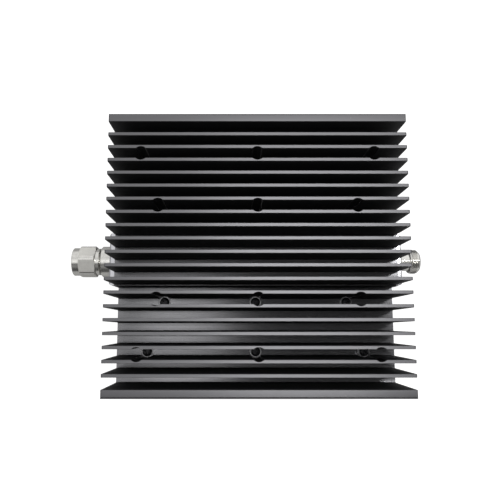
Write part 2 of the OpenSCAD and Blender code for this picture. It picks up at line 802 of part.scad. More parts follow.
upper_heat_sink();
lower_heat_sink();
heat_sink_screws();
flat_washers();
spring_washers();
plug_end_plate();
socket_end_plate();
plug_plate_screws();
socket_plate_screws();
plug_body();
coupling_nut();
snap_ring();
plug_gasket();
plug_insulator();
plug_centre_pin();
socket_body();
socket_insulator();
socket_centre_contact();
plug_line_board();
socket_line_board();
plug_line_track();
socket_line_track();
board_screws();
element_flange();
element_substrate();
element_lid();
plug_side_tab();
socket_side_tab();
element_screws();
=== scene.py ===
"""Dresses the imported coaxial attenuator: finishes, and true threads, screws and fins."""

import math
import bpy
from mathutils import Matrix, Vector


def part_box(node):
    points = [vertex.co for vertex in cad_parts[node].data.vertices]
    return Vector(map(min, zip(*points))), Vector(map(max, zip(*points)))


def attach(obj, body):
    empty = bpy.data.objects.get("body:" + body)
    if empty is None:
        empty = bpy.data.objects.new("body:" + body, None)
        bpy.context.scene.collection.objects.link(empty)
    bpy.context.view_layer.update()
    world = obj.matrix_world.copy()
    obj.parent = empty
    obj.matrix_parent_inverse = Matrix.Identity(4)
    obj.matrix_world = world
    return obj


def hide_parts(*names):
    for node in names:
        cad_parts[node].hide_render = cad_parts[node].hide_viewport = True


bl_info = {
    "name": "Coaxial attenuator dressing",
    "version": (1, 0, 0),
    "blender": (4, 5, 0),
    "location": "3D View > Sidebar > Attenuator",
    "description": "Finishes, threads, screws and a studio for a finned coaxial attenuator",
    "category": "Object",
}

from functools import partialmethod

import bmesh
import bpy
from bpy.props import FloatProperty, FloatVectorProperty, IntProperty, PointerProperty

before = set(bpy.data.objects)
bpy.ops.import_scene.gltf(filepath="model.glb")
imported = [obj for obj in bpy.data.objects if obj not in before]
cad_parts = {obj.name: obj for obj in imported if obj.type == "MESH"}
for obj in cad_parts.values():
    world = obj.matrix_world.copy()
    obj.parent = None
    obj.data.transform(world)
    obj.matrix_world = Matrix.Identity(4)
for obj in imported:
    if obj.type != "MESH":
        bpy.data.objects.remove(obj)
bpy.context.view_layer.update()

MM = 0.001
SINK_LOW, SINK_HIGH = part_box("upper_heat_sink")
AXIS_Z = SINK_LOW.z
TIP_REACH = SINK_HIGH.z - AXIS_Z
PLATE_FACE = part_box("socket_end_plate")[1].x
SCREWS_LOW, SCREWS_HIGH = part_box("heat_sink_screws")
SOCKET_LOW, SOCKET_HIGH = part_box("socket_body")
NUT_LOW, NUT_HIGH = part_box("coupling_nut")
# Steps from the foot of a fin to its tip
FIN_ROWS = 6
# Sides of the round blanks of the screws and washers, and of the drilled holes
SMALL_SIDES = 48
# How far a cutter starts outside what it cuts, and how far the fins' feet are sunk in the base
PAST, SUNK = 1.0 * MM, 0.05 * MM
# The cross recess of a screw, in shares of the head's diameter
RECESS_REACH, RECESS_WIDTH, CONE_TOP, CONE_FOOT = 0.56, 0.13, 0.17, 0.05
# A thread's foot and crest, each half its width, in shares of the pitch
THREAD_FOOT, THREAD_CREST = 0.495, 0.07
# Steps of the helix in each turn
TURN_STEPS = 60
WORN_EDGE = (0.10, 0.10, 0.105, 1.0)
DUST = (0.55, 0.54, 0.52, 1.0)


# ---- Sizes, finishes and studio settings ----


def size(name, description, default, high=1.0):
    """A length in metres."""
    return FloatProperty(name=name, description=description, default=default, min=0.0, max=high,
                         precision=5, unit="LENGTH", subtype="DISTANCE")


def colour(name, description, default):
    """A linear colour."""
    return FloatVectorProperty(name=name, description=description, default=default, min=0.0,
                               max=1.0, size=3, subtype="COLOR")


def power(name, description, default):
    """The power of a lamp, in watts."""
    return FloatProperty(name=name, description=description, default=default, min=0.0, unit="POWER")


class AttenuatorSizes(bpy.types.PropertyGroup):
    """Sizes of the pieces that are made here."""

    fin_count: IntProperty(name="Fins", description="Fins of each heat sink, an odd number",
                           default=19, min=9, max=25)
    fin_pitch: size("Fin pitch", "Distance from one fin to the next", 7.76 * MM)
    fin_tip: size("Fin tip", "Thickness of a fin at its tip", 1.9 * MM)
    fin_root: size("Fin foot", "Thickness of a fin at its foot", 2.5 * MM)
    tip_break: size("Tip edge", "Broken edge along the fin tips", 0.12 * MM)
    base: size("Base", "Thickness of the base that carries the fins", 9.4 * MM)
    spine_fins: IntProperty(name="Fins on the spine", description="Fins that stand on the spine",
                            default=5, min=1, max=9)
    spine_rise: size("Spine", "Height of the spine above the base", 14.6 * MM)
    side_wall: size("Side wall", "Thickness of the solid side walls", 5.0 * MM)
    driver_hole: size("Driver hole", "Diameter of the holes milled down through the fins", 8.3 * MM)
    end_bevel: size("End bevel", "Bevel on the sawn ends of the tips", 0.7 * MM)
    clamp_head: size("Clamp screw head", "Diameter of the pan heads", 6.0 * MM)
    clamp_thread: size("Clamp screw thread", "Thread diameter of the clamping screws", 2.9 * MM)
    inner_row_x: size("Inner rows, X", "Distance of the inner rows' end screws from the middle",
                      58 * MM)
    inner_row_y: size("Inner rows, Y", "Distance of the inner rows from the centre line", 27.16 * MM)
    outer_row_x: size("Outer rows, X", "Distance of the outer rows' end screws from the middle",
                      SCREWS_HIGH.x - 3 * MM)
    outer_row_y: size("Outer rows, Y", "Distance of the outer rows from the centre line",
                      SCREWS_HIGH.y - 3 * MM)
    plate_head: size("Plate screw head", "Diameter of the countersunk heads", 5.6 * MM)
    plate_spacing: size("Plate screw spacing", "Distance between the screws of an end plate", 24 * MM)
    thread_pitch: size("Thread pitch", "Pitch of the 5/8 inch connector thread", 1.058 * MM)
    thread_ridge: size("Thread ridge", "Height of the connector thread's ridges", 0.515 * MM)
    thread_d: size("Thread diameter", "Outside diameter of the connector thread", 15.88 * MM)
    thread_len: size("Thread length", "Length of the socket's thread", 6.7 * MM)
    thread_bevel: size("Thread bevel", "Bevel at the mouth end of the socket's thread", 1.8 * MM)
    hexagon: size("Hexagon", "Width across the flats of the coupling nut", 19.0 * MM)
    nut_angle: FloatProperty(name="Nut angle", description="Angle that the coupling nut stands at",
                             default=math.radians(8), subtype="ANGLE", unit="ROTATION")
    nut_lip: size("Nut lip", "Length of the round lip at the back of the nut", 2.3 * MM)
    nut_collar: size("Nut collar", "Length of the round collar at the nut's mouth", 4.5 * MM)
    steps_round: IntProperty(name="Steps round", description="Sides of the turned pieces",
                             default=120, min=24, max=240)


class AttenuatorFinishes(bpy.types.PropertyGroup):
    """Colours of the finishes."""

    anodised_black: colour("Black anodised", "Heat sinks", (0.0085, 0.0085, 0.0095))
    anodised_clear: colour("Clear anodised", "End plates", (0.62, 0.62, 0.65))
    nickel: colour("Nickel", "Plug and socket", (0.80, 0.79, 0.755))
    black_zinc: colour("Black zinc", "Clamping screws", (0.035, 0.035, 0.038))
    zinc: colour("Zinc", "Flat washers and board screws", (0.55, 0.55, 0.56))
    gold: colour("Gold", "Centre pin and contact", (0.83, 0.62, 0.27))
    silicone: colour("Silicone", "Gasket of the plug", (0.45, 0.06, 0.035))


class AttenuatorStudio(bpy.types.PropertyGroup):
    """Lamps and backdrop."""

    key_power: power("Key lamp", "Power of the soft box over the +Y side", 4.05)
    low_power: power("Low lamp", "Power of the soft box over the -Y side", 1.5)
    spot_power: power("Left lamp", "Power of the small lamp over the -X side", 0.31)
    fill: FloatProperty(name="Fill", description="Brightness of the room as diffuse light",
                        default=0.42, min=0.0, max=1.0, subtype="FACTOR")
    floor_size: size("Floor", "Width of the floor", 6.0, high=20.0)


# ---- Node tree helpers ----


class Wire:
    """An output of a node. A sign between it and another one, or a number, adds a maths node:
    where a and b are outputs, a * b is the output of a new node that multiplies them."""

    def __init__(self, node, socket=None):
        self.node = node
        self.socket = socket
        if socket is None:
            self.socket = next((s for s in node.outputs if s.enabled), None)

    def out(self, name):
        """Another output of the same node, by name or number."""
        return Wire(self.node, self.node.outputs[name])

    def reckon(self, operation, *others):
        """A maths node that starts with this output."""
        return maths(operation, self, *others)

    __add__ = partialmethod(reckon, "ADD")
    __sub__ = partialmethod(reckon, "SUBTRACT")
    __mul__ = partialmethod(reckon, "MULTIPLY")
    __truediv__ = partialmethod(reckon, "DIVIDE")
    __abs__ = partialmethod(reckon, "ABSOLUTE")
    __lt__ = partialmethod(reckon, "LESS_THAN")
    __gt__ = partialmethod(reckon, "GREATER_THAN")

    def __rsub__(self, other):
        return maths("SUBTRACT", other, self)

    def __neg__(self):
        return self * -1.0


def feed(socket, value):
    """Links a socket to a node's output, or sets a plain value on it."""
    if isinstance(value, Wire):
        socket.id_data.links.new(value.socket, socket)
    else:
        socket.default_value = value


def add(home, kind, inputs=None, **settings):
    """Adds a node to a tree or beside another node, feeds its inputs by name or number, and returns
    its first output."""
    tree = home.node.id_data if isinstance(home, Wire) else home
    node = tree.nodes.new(kind)
    count = len(tree.nodes)
    node.location = (220 * (count % 10), -320 * (count // 10))
    for name, value in settings.items():
        setattr(node, name, value)
    for name, value in (inputs or {}).items():
        if isinstance(name, int):
            socket = node.inputs[name]
        else:
            socket = next(s for s in node.inputs if s.name == name and s.enabled)
        for item in value if isinstance(value, list) else [value]:
            feed(socket, item)
    return Wire(node)


def maths(operation, *values, clamp=False):
    """A maths node on outputs and numbers."""
    home = next(v for v in values if isinstance(v, Wire))
    return add(home, "ShaderNodeMath", dict(enumerate(values)), operation=operation, use_clamp=clamp)


def ramp(value, low, high, to_low=0.0, to_high=1.0):
    """Maps a value from one range to another, and holds it there."""
    return add(value, "ShaderNodeMapRange", {
        "Value": value, "From Min": low, "From Max": high, "To Min": to_low, "To Max": to_high})


def mix(factor, a, b):
    """Mixes two numbers."""
    return add(factor, "ShaderNodeMix", {"Factor": factor, "A": a, "B": b})


def xyz(x=0.0, y=0.0, z=0.0):
    """A vector of three numbers or outputs."""
    home = next((v for v in (x, y, z) if isinstance(v, Wire)), None)
    return add(home, "ShaderNodeCombineXYZ", {0: x, 1: y, 2: z}) if home else (x, y, z)


def parts(vector):
    """The X, Y and Z of a vector."""
    split = add(vector, "ShaderNodeSeparateXYZ", {0: vector})
    return [split.out(i) for i in range(3)]


def cleared_tree(holder):
    """The emptied shader tree of a material or a world."""
    holder.use_nodes = True
    holder.node_tree.nodes.clear()
    return holder.node_tree


# ---- Finishes ----


def noise(vector, scale, detail=3.0, roughness=0.55, stretch=(1.0, 1.0, 1.0)):
    """Noise with features of 1 / scale metres, longer where stretch is below 1."""
    mapped = add(vector, "ShaderNodeMapping", {"Vector": vector, "Scale": stretch})
    return add(mapped, "ShaderNodeTexNoise", {
        "Vector": mapped, "Scale": scale, "Detail": detail, "Roughness": roughness})


def lathe_vector(place):
    """Position along the connector axis and distance from it: rings of a lathe on any face."""
    x, y, z = parts(place)
    across = xyz(y, z - AXIS_Z)
    radius = add(across, "ShaderNodeVectorMath", {0: across}, operation="LENGTH").out("Value")
    return xyz(x, radius)


def blend(factor, a, b):
    """Mixes two colours."""
    return add(factor, "ShaderNodeMix", {"Factor": factor, "A": a, "B": b}, data_type="RGBA").out(2)


def shade(rgb, by):
    """A colour as four numbers, brighter or darker by a factor."""
    return (*[min(1.0, c * by) for c in rgb], 1.0)


def mottle(pattern, low, high, rgb, first, second):
    """A colour that goes from one brightness to another as a pattern goes from low to high."""
    return blend(ramp(pattern, low, high), shade(rgb, first), shade(rgb, second))


def new_finish(name):
    """An empty material, its shader and the position on the object, in metres."""
    material = bpy.data.materials.new(name)
    tree = cleared_tree(material)
    shader = add(tree, "ShaderNodeBsdfPrincipled")
    add(tree, "ShaderNodeOutputMaterial", {"Surface": shader})
    return material, shader.node, add(tree, "ShaderNodeTexCoord").out("Object")


def settle(shader, values):
    """Feeds a shader's inputs by name."""
    for name, value in values.items():
        feed(shader.inputs[name], value)


def relief(shader, height, depth, strength):
    """Bump of a given depth in metres."""
    bump = add(height, "ShaderNodeBump", {"Strength": strength, "Distance": depth, "Height": height})
    feed(shader.inputs["Normal"], bump)


def black_anodised(name, rgb, ior, smooth_rough, side_rough, spread):
    """Extruded, anodised aluminium: die lines along X, satin tips, worn edges, dust. spread is how
    much wider the gloss is across the die lines than along them."""
    material, shader, place = new_finish(name)
    x, _, z = parts(place)
    lines = noise(place, 1100, 3.0, 0.6, stretch=(0.0004, 1.0, 1.0))
    broad = noise(place, 420, 1.0, 0.5, stretch=(0.001, 1.0, 1.0))
    cloud = noise(place, 28)
    grain = noise(place, 5200, 2.0)
    reach = abs(z - AXIS_Z)
    tip = ramp(reach, TIP_REACH - 0.05 * MM, TIP_REACH - 0.02 * MM)
    chamfer = ramp(reach, TIP_REACH - 0.22 * MM, TIP_REACH - 0.12 * MM) - tip
    end = ramp(abs(x), SINK_HIGH.x - 0.08 * MM, SINK_HIGH.x - 0.02 * MM)
    facing = parts(place.out("Normal"))
    flank = ramp(abs(facing[1]), 0.75, 0.9)
    spots = add(place, "ShaderNodeTexVoronoi", {"Vector": place, "Scale": 210.0, "Randomness": 1.0})
    dust = ramp(spots, 0.035, 0.02)

    tone = mottle(cloud, 0.3, 0.7, rgb, 0.88, 1.15)
    tone = blend(ramp(lines, 0.55, 0.8) * 0.35, tone, shade(rgb, 1.9))
    tone = blend(chamfer * ramp(grain, 0.45, 0.75, 0.1, 0.6), tone, WORN_EDGE)
    tone = blend(dust * 0.6, tone, DUST)
    gloss = ramp(lines, 0.25, 0.75, smooth_rough, smooth_rough + 0.06)
    satin = ramp(grain, 0.3, 0.7, 0.30, 0.34)
    rough = mix(end, mix(tip, gloss, satin), 0.46)
    settle(shader, {
        "Base Color": tone, "Roughness": mix(flank, rough, side_rough), "IOR": ior,
        "Specular Tint": (0.965, 0.96, 1.0, 1.0), "Anisotropic": spread})
    if spread:
        # The die lines run along X, so gloss spreads across them
        settle(shader, {"Anisotropic Rotation": 0.25, "Tangent": add(
            place, "ShaderNodeCombineXYZ", {0: 1.0, 1: 0.03, 2: 0.02})})

    height = maths("MULTIPLY_ADD", broad, 1.2, lines)
    height = maths("MULTIPLY_ADD", grain * tip, 0.2, height)
    relief(shader, height, 0.003 * MM, 0.8)
    return material


def clear_anodised(rgb):
    """Milled plate: fine cutter lines, slightly mottled."""
    material, shader, place = new_finish("clear_anodised")
    lines = noise(place, 2600, 3.0, 0.6, stretch=(1.0, 0.02, 1.0))
    grain = noise(place, 9000, 1.0)
    settle(shader, {
        "Base Color": mottle(noise(place, 90), 0.3, 0.7, rgb, 0.94, 1.03),
        "Metallic": 0.85, "Roughness": ramp(lines, 0.3, 0.7, 0.08, 0.12)})
    relief(shader, maths("MULTIPLY_ADD", grain, 0.4, lines), 0.0012 * MM, 0.5)
    return material


def turned_metal(name, rgb, rough, ring_depth, milled=None):
    """Turned and plated metal: lathe rings round the connector axis, faint stains. milled gives two
    X and two radii; between them the metal is milled instead, and duller, and its colour is painted
    lighter as a painted sheen on the flats."""
    material, shader, place = new_finish(name)
    around = lathe_vector(place)
    rings = noise(around, 5200, 3.0, 0.6)
    coarse = noise(around, 900, 2.0)
    stain = noise(place, 420, 4.0, 0.6)
    tone = mottle(stain, 0.35, 0.75, rgb, 1.03, 0.86)
    level = ramp(rings, 0.3, 0.7, rough - 0.03, rough + 0.05)
    level = level + ramp(stain, 0.5, 0.8, 0.0, 0.06)
    if milled:
        start, end, inner, outer = milled
        edge = 0.05 * MM
        x, from_axis, _ = parts(around)
        inside = ramp(x, start, start + edge) * ramp(x, end - edge, end, 1.0, 0.0)
        inside = inside * ramp(from_axis, inner - edge, inner)
        inside = inside * ramp(from_axis, outer - edge, outer, 1.0, 0.0)
        level = mix(inside, level, ramp(rings, 0.3, 0.7, 0.56, 0.64))
        # Painted sheen: the milled flats are painted lighter and less stained than the turned nickel
        tone = blend(inside, tone, mottle(stain, 0.35, 0.75, rgb, 1.14, 1.04))
    settle(shader, {"Base Color": tone, "Metallic": 1.0, "Roughness": level})
    relief(shader, maths("MULTIPLY_ADD", coarse, 1.5, rings), ring_depth, 0.7)
    return material


def screw_metal(name, rgb, metallic, rough):
    """Plated screws and washers: fine grain and rubbed patches."""
    material, shader, place = new_finish(name)
    patch = noise(place, 700, 3.0, 0.6)
    settle(shader, {
        "Base Color": mottle(patch, 0.4, 0.75, rgb, 1.0, 1.6), "Metallic": metallic,
        "Roughness": ramp(patch, 0.3, 0.7, rough, rough + 0.1)})
    relief(shader, noise(place, 7000, 2.0), 0.003 * MM, 0.5)
    return material


def soft_plastic(name, rgb, rough, grain_size, depth, subsurface=0.0):
    """PTFE, silicone or fired ceramic: clouded colour and a fine, even skin."""
    material, shader, place = new_finish(name)
    grain = noise(place, 1 / grain_size)
    settle(shader, {
        "Base Color": mottle(noise(place, 300), 0.3, 0.7, rgb, 0.93, 1.04),
        "Roughness": ramp(grain, 0.3, 0.7, rough - 0.05, rough + 0.05),
        "Subsurface Weight": subsurface, "Subsurface Scale": 0.4 * MM})
    relief(shader, grain, depth, 0.6)
    return material


def laminate():
    """Woven circuit laminate."""
    material, shader, place = new_finish("woven_laminate")
    x, y, _ = parts(place)
    weave = maths("SINE", x * 9000.0) * maths("SINE", y * 9000.0)
    settle(shader, {
        "Base Color": blend(ramp(weave, -1.0, 1.0), (0.78, 0.77, 0.70, 1.0),
                            (0.9, 0.89, 0.84, 1.0)),
        "Roughness": ramp(weave, -1.0, 1.0, 0.5, 0.42)})
    relief(shader, weave, 0.01 * MM, 0.5)
    return material


def rolled_foil(name, rgb, rough):
    """Copper track or silver tab: rolled along X, lightly tarnished."""
    material, shader, place = new_finish(name)
    rolled = noise(place, 3000, 3.0, 0.6, stretch=(0.02, 1.0, 1.0))
    tarnish = noise(place, 260, 4.0, 0.6)
    settle(shader, {
        "Base Color": mottle(tarnish, 0.45, 0.8, rgb, 1.0, 0.72), "Metallic": 1.0,
        "Roughness": ramp(tarnish, 0.4, 0.8, rough, rough + 0.2)})
    relief(shader, rolled, 0.003 * MM, 0.6)
    return material


def dress(material, *nodes):
    """Puts a finish on CAD nodes, through their objects' material slots."""
    for name in nodes:
        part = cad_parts[name]
        if not part.material_slots:
            part.data.materials.append(material)
        for holder in part.material_slots:
            holder.material = material


# ---- Mesh helpers ----


def new_object(name, data):
    """An object in the scene."""
    piece = bpy.data.objects.new(name, data)
    bpy.context.scene.collection.objects.link(piece)
    return piece


def new_piece(name, mesh, outward=True):
    """An object made of a bmesh, with its faces turned outward."""
    if outward:
        bmesh.ops.recalc_face_normals(mesh, faces=mesh.faces)
    data = bpy.data.meshes.new(name)
    mesh.to_mesh(data)
    mesh.free()
    return new_object(name, data)


def polar(radius, angle, height):
    """A point by its distance from the Z axis, its angle and its height."""
    return (radius * math.cos(angle), radius * math.sin(angle), height)


def turned(name, profile, steps):
    """A solid of revolution about Z. profile is the closed outline, as (radius, height) points, or a
    function that gives it for an angle. A point on the axis becomes one pole."""
    mesh = bmesh.new()
    columns = []
    poles = {}
    for step in range(steps):
        angle = 2 * math.pi * step / steps
        column = []
        for index, (radius, height) in enumerate(profile(angle) if callable(profile) else profile):
            if radius < 1e-9:
                if index not in poles:
                    poles[index] = mesh.verts.new((0, 0, height))
                column.append(poles[index])
            else:
                column.append(mesh.verts.new(polar(radius, angle, height)))
        columns.append(column)
    for here, there in zip(columns, columns[1:] + columns[:1]):
        for i in range(len(here)):
            j = (i + 1) % len(here)
            corners = list(dict.fromkeys([here[i], there[i], there[j], here[j]]))
            if len(corners) > 2:
                mesh.faces.new(corners)
    return new_piece(name, mesh)


def arc(cx, cy, radius, start, end, steps):
    """Points of an arc, with its angles in degrees."""
    angles = [math.radians(start + (end - start) * i / steps) for i in range(steps + 1)]
    return [(cx + radius * math.cos(a), cy + radius * math.sin(a)) for a in angles]


def grow(piece, tree, values, sharp=30):
    """Runs a tree on a piece, keeps the result as its plain mesh, and smooths below an angle."""
    modifier = piece.modifiers.new(tree.name, "NODES")
    modifier.node_group = tree
    ids = {i.name: i.identifier for i in tree.interface.items_tree
           if i.item_type == "SOCKET" and i.in_out == "INPUT"}
    for name, value in values.items():
        modifier[ids[name]] = value
    depsgraph = bpy.context.evaluated_depsgraph_get()
    result = bpy.data.meshes.new_from_object(piece.evaluated_get(depsgraph), depsgraph=depsgraph)
    piece.modifiers.remove(modifier)
    blank = piece.data
    piece.data = result
    bpy.data.meshes.remove(blank)
    result.name = piece.name
    if not result.polygons:
        raise RuntimeError(f"{tree.name} made nothing for {piece.name}")
    result.shade_smooth()
    result.set_sharp_from_angle(angle=math.radians(sharp))


# ---- Geometry Nodes trees ----

SOCKET_KINDS = {bool: "Bool", int: "Int", float: "Float", tuple: "Vector"}


def new_tree(name, values):
    """A Geometry Nodes tree with an input for each value, and the inputs by name. Where a value is a
    material, the last word of its name says so."""
    tree = bpy.data.node_groups.new(name, "GeometryNodeTree")
    for label, value in {"Geometry": None, **values}.items():
        kind = SOCKET_KINDS.get(type(value), label.split()[-1])
        socket = tree.interface.new_socket(
            name=label, in_out="INPUT", socket_type="NodeSocket" + kind)
        if kind in SOCKET_KINDS.values():
            socket.default_value = value
    tree.interface.new_socket(name="Geometry", in_out="OUTPUT", socket_type="NodeSocketGeometry")
    entry = tree.nodes.new("NodeGroupInput")
    return tree, {s.name: Wire(entry, s) for s in entry.outputs if s.name}


def realized(geometry):
    """Instances as plain geometry."""
    return add(geometry, "GeometryNodeRealizeInstances", {"Geometry": geometry})


def painted(geometry, material, where=True):
    """Geometry with a material on all of it, or on some faces."""
    return add(geometry, "GeometryNodeSetMaterial", {
        "Geometry": geometry, "Selection": where, "Material": material})


def close_tree(geometry, material):
    """Ends a tree in Realize Instances and Set Material."""
    add(geometry, "NodeGroupOutput", {0: painted(realized(geometry), material)})


def moved(geometry, place=(0, 0, 0), turn=(0, 0, 0)):
    """Geometry turned, then moved."""
    return add(geometry, "GeometryNodeTransform", {
        "Geometry": geometry, "Translation": place, "Rotation": turn})


def put(points, piece, turn=(0, 0, 0)):
    """An instance of a piece at each point."""
    return add(points, "GeometryNodeInstanceOnPoints", {
        "Points": points, "Instance": piece, "Rotation": turn})


def scattered(points, piece, seed):
    """A piece at each point, at a random turn about Z."""
    turn = add(points, "FunctionNodeRandomValue", {"Min": 0.0, "Max": math.pi, "Seed": seed},
               data_type="FLOAT")
    return put(points, piece, xyz(z=turn))


def joined(*pieces):
    """Pieces side by side as one geometry."""
    return add(pieces[0], "GeometryNodeJoinGeometry", {"Geometry": list(pieces)})


def united(*solids):
    """The union of solids."""
    return add(solids[0], "GeometryNodeMeshBoolean", {1: list(solids)}, operation="UNION",
               solver="EXACT")


def cut(solid, *cutters):
    """A solid less its cutters."""
    return add(solid, "GeometryNodeMeshBoolean", {0: solid, 1: list(cutters)},
               operation="DIFFERENCE", solver="EXACT")


def position(home):
    """The X, Y and Z of each point."""
    return parts(add(home, "GeometryNodeInputPosition"))


def shape_fins(take, fins):
    """Gives each box in a row the section of a fin: a round foot, a taper and broken tip edges."""
    x, y, z = position(fins)
    number = maths("ROUND", y / take["Pitch"])
    middle = number * take["Pitch"]
    side = maths("SIGN", y - middle)
    row = maths("ROUND", maths("MULTIPLY_ADD", z, float(FIN_ROWS), FIN_ROWS / 2))
    on_spine = abs(number) < take["Spine Fins"] * 0.5
    level = maths("MULTIPLY_ADD", on_spine, take["Spine Rise"], take["Base"])
    # The lowest rows climb the round, closer together at its foot. The last two are the tip's edges.
    foot = take["Foot Round"]
    climbed = maths("POWER", maths("DIVIDE", row, FIN_ROWS - 2.0, clamp=True), 1.6) * foot
    to_go = foot - climbed
    flare = foot - maths("SQRT", foot * foot - to_go * to_go)
    buried = (row < 0.5) * SUNK
    tip = row > FIN_ROWS - 0.5
    high = take["Height"] - (1.0 - tip) * take["Tip Edge"]
    z = mix(row > FIN_ROWS - 1.5, level + climbed - buried, high)
    half = ramp(z, take["Base"], take["Height"], take["Foot"] * 0.5, take["Tip"] * 0.5)
    half = half + flare - tip * take["Tip Edge"]
    shaped = xyz(x, maths("MULTIPLY_ADD", side, half, middle), z)
    return add(fins, "GeometryNodeSetPosition", {"Geometry": fins, "Position": shaped})


def block(size_xyz, place=(0, 0, 0), turn=(0, 0, 0)):
    """A box with its middle at a place."""
    cube = add(size_xyz[0], "GeometryNodeMeshCube", {"Size": xyz(*size_xyz)})
    return moved(cube, xyz(*place), turn)


def drill(points, diameter, low, high, turn=(0, 0, 0)):
    """Cylinders from one height to another at points."""
    rod = add(points, "GeometryNodeMeshCylinder", {
        "Vertices": SMALL_SIDES, "Radius": diameter * 0.5, "Depth": high - low})
    return realized(put(points, moved(rod, xyz(z=(high + low) * 0.5)), turn))


def screw_grid(x, y, count_x, height=0.0):
    """Points on both sides of the centre line, from -x to x."""
    grid = add(y, "GeometryNodeMeshGrid", {
        "Size X": x * 2.0, "Size Y": y * 2.0, "Vertices X": count_x, "Vertices Y": 2})
    return moved(grid, xyz(z=height))


def clamp_stations(take, height=0.0):
    """Points at the twelve clamping screws."""
    return joined(*[screw_grid(take[row + " X"], take[row + " Y"], 3, height)
                    for row in ("Inner", "Outer")])


def finned_sink_tree(values):
    """Stands fins on a trough with a spine, then mills the cavity, screw holes and bevelled ends."""
    tree, take = new_tree("finned_heat_sink", values)
    row = add(tree, "GeometryNodeMeshLine", {
        "Count": take["Fins"], "Offset": xyz(y=take["Pitch"]),
        "Start Location": xyz(y=-((take["Fins"] - 1.0) * 0.5 * take["Pitch"]))})
    box = add(tree, "GeometryNodeMeshCube", {
        "Size": xyz(take["Length"], MM, 1.0),
        "Vertices X": 2, "Vertices Y": 2, "Vertices Z": FIN_ROWS + 1})
    fins = shape_fins(take, realized(put(row, box)))
    solid = united(take["Geometry"], fins)

    end = take["Length"] * 0.5
    wider = take["Width"] + 2 * PAST
    bevel = take["End Bevel"] * math.sqrt(2)
    deep = -take["End Hole Depth"]
    stations = clamp_stations(take)
    milled = drill(stations, take["Driver Hole"], take["Driver Hole From"], take["Height"] + PAST)
    boards = joined(*[screw_grid(take[x], take["Board Y"], 2)
                      for x in ("Board Near X", "Board Far X")])
    tapped = joined(
        drill(boards, take["Board Hole"], -PAST, take["Board Hole Depth"]),
        drill(screw_grid(0.0, take["Element Y"], 1), take["Element Hole"], -PAST,
              take["Element Hole Depth"]))
    cutters = [
        *(add(tree, "GeometryNodeSwitch", {"Switch": take["Upper"], when: holes},
              input_type="GEOMETRY") for when, holes in (("True", milled), ("False", tapped))),
        drill(stations, take["Clamp Hole"], -PAST, take["Clamp Hole To"]),
        drill(screw_grid(end, take["End Hole Offset"], 2, take["End Hole Offset"]),
              take["End Hole"], deep, -deep, (0, math.pi / 2, 0)),
        block((take["Length"] + 2 * PAST, take["Cavity Width"], take["Cavity Depth"] * 2.0)),
        block((take["Pocket Length"], take["Pocket Width"], take["Pocket Depth"] * 2.0)),
        *(block((bevel, wider, bevel), (x, 0, take["Height"]), (0, math.pi / 4, 0))
          for x in (end, -end))]
    for cutter in cutters:
        solid = cut(solid, cutter)
    laid = realized(moved(solid, take["Place"], take["Turn"]))
    laid = painted(laid, take["Material"])
    facing = parts(add(tree, "GeometryNodeInputNormal"))
    place = position(tree)
    axis = parts(take["Place"])
    # The flanks between the side walls' outer faces, and the floors below the tips
    for label, turn, across, limit in (
            ("Side Material", facing[1], place[1], take["Width"] * 0.48),
            ("Floor Material", facing[2], place[2] - axis[2], take["Height"] - PAST)):
        laid = painted(laid, take[label], (abs(turn) > 0.75) * (abs(across) < limit))
    add(tree, "NodeGroupOutput", {0: laid})
    return tree


def cut_recess(blank, head, top, depth):
    """Cuts a cross recess into the top of a screw's head. Its wings are half as long at the bottom,
    and the cone in the middle goes deeper."""
    above = depth * 2.0
    bar = add(blank, "GeometryNodeMeshCube", {
        "Size": xyz(head * RECESS_REACH, head * RECESS_WIDTH, above)})
    x, y, z = position(blank)
    tapered = xyz(x * ramp(z, -depth, depth, 0.5, 1.5), y, z)
    wing = add(bar, "GeometryNodeSetPosition", {"Geometry": bar, "Position": tapered})
    crossed = moved(wing, turn=(0, 0, math.pi / 2))
    cone = add(blank, "GeometryNodeMeshCone", {
        "Vertices": 24, "Radius Top": head * CONE_TOP, "Radius Bottom": head * CONE_FOOT,
        "Depth": above})
    cone = moved(cone, xyz(z=depth * -1.15))
    return cut(blank, *[moved(part, xyz(z=top)) for part in (wing, crossed, cone)])


def clamp_row_tree(name, values):
    """Puts a blank at the twelve clamping screws, each at its own angle. It cuts a recess where the
    values have a head."""
    tree, take = new_tree(name, values)
    blank = take["Geometry"]
    if "Head" in take:
        blank = cut_recess(blank, take["Head"], take["Head Top"], take["Recess Depth"])
    points = clamp_stations(take, take["Height"])
    close_tree(scattered(points, blank, take["Seed"]), take["Material"])
    return tree


def plate_row_tree(values):
    """Puts a countersunk screw at the four corners of both end plates."""
    tree, take = new_tree("plate_screw_corners", values)
    half = take["Spacing"] * 0.5
    points = screw_grid(half, half, 2)
    screw = cut_recess(take["Geometry"], take["Head"], 0.0, take["Recess Depth"])
    ends = []
    for end in (-1, 1):
        placed = scattered(points, screw, take["Seed"] + float(end))
        at_plate = xyz(take["Plate Face"] * float(end), 0.0, take["Axis Height"])
        ends.append(moved(placed, at_plate, (0, end * math.pi / 2, 0)))
    close_tree(joined(*ends), take["Material"])
    return tree


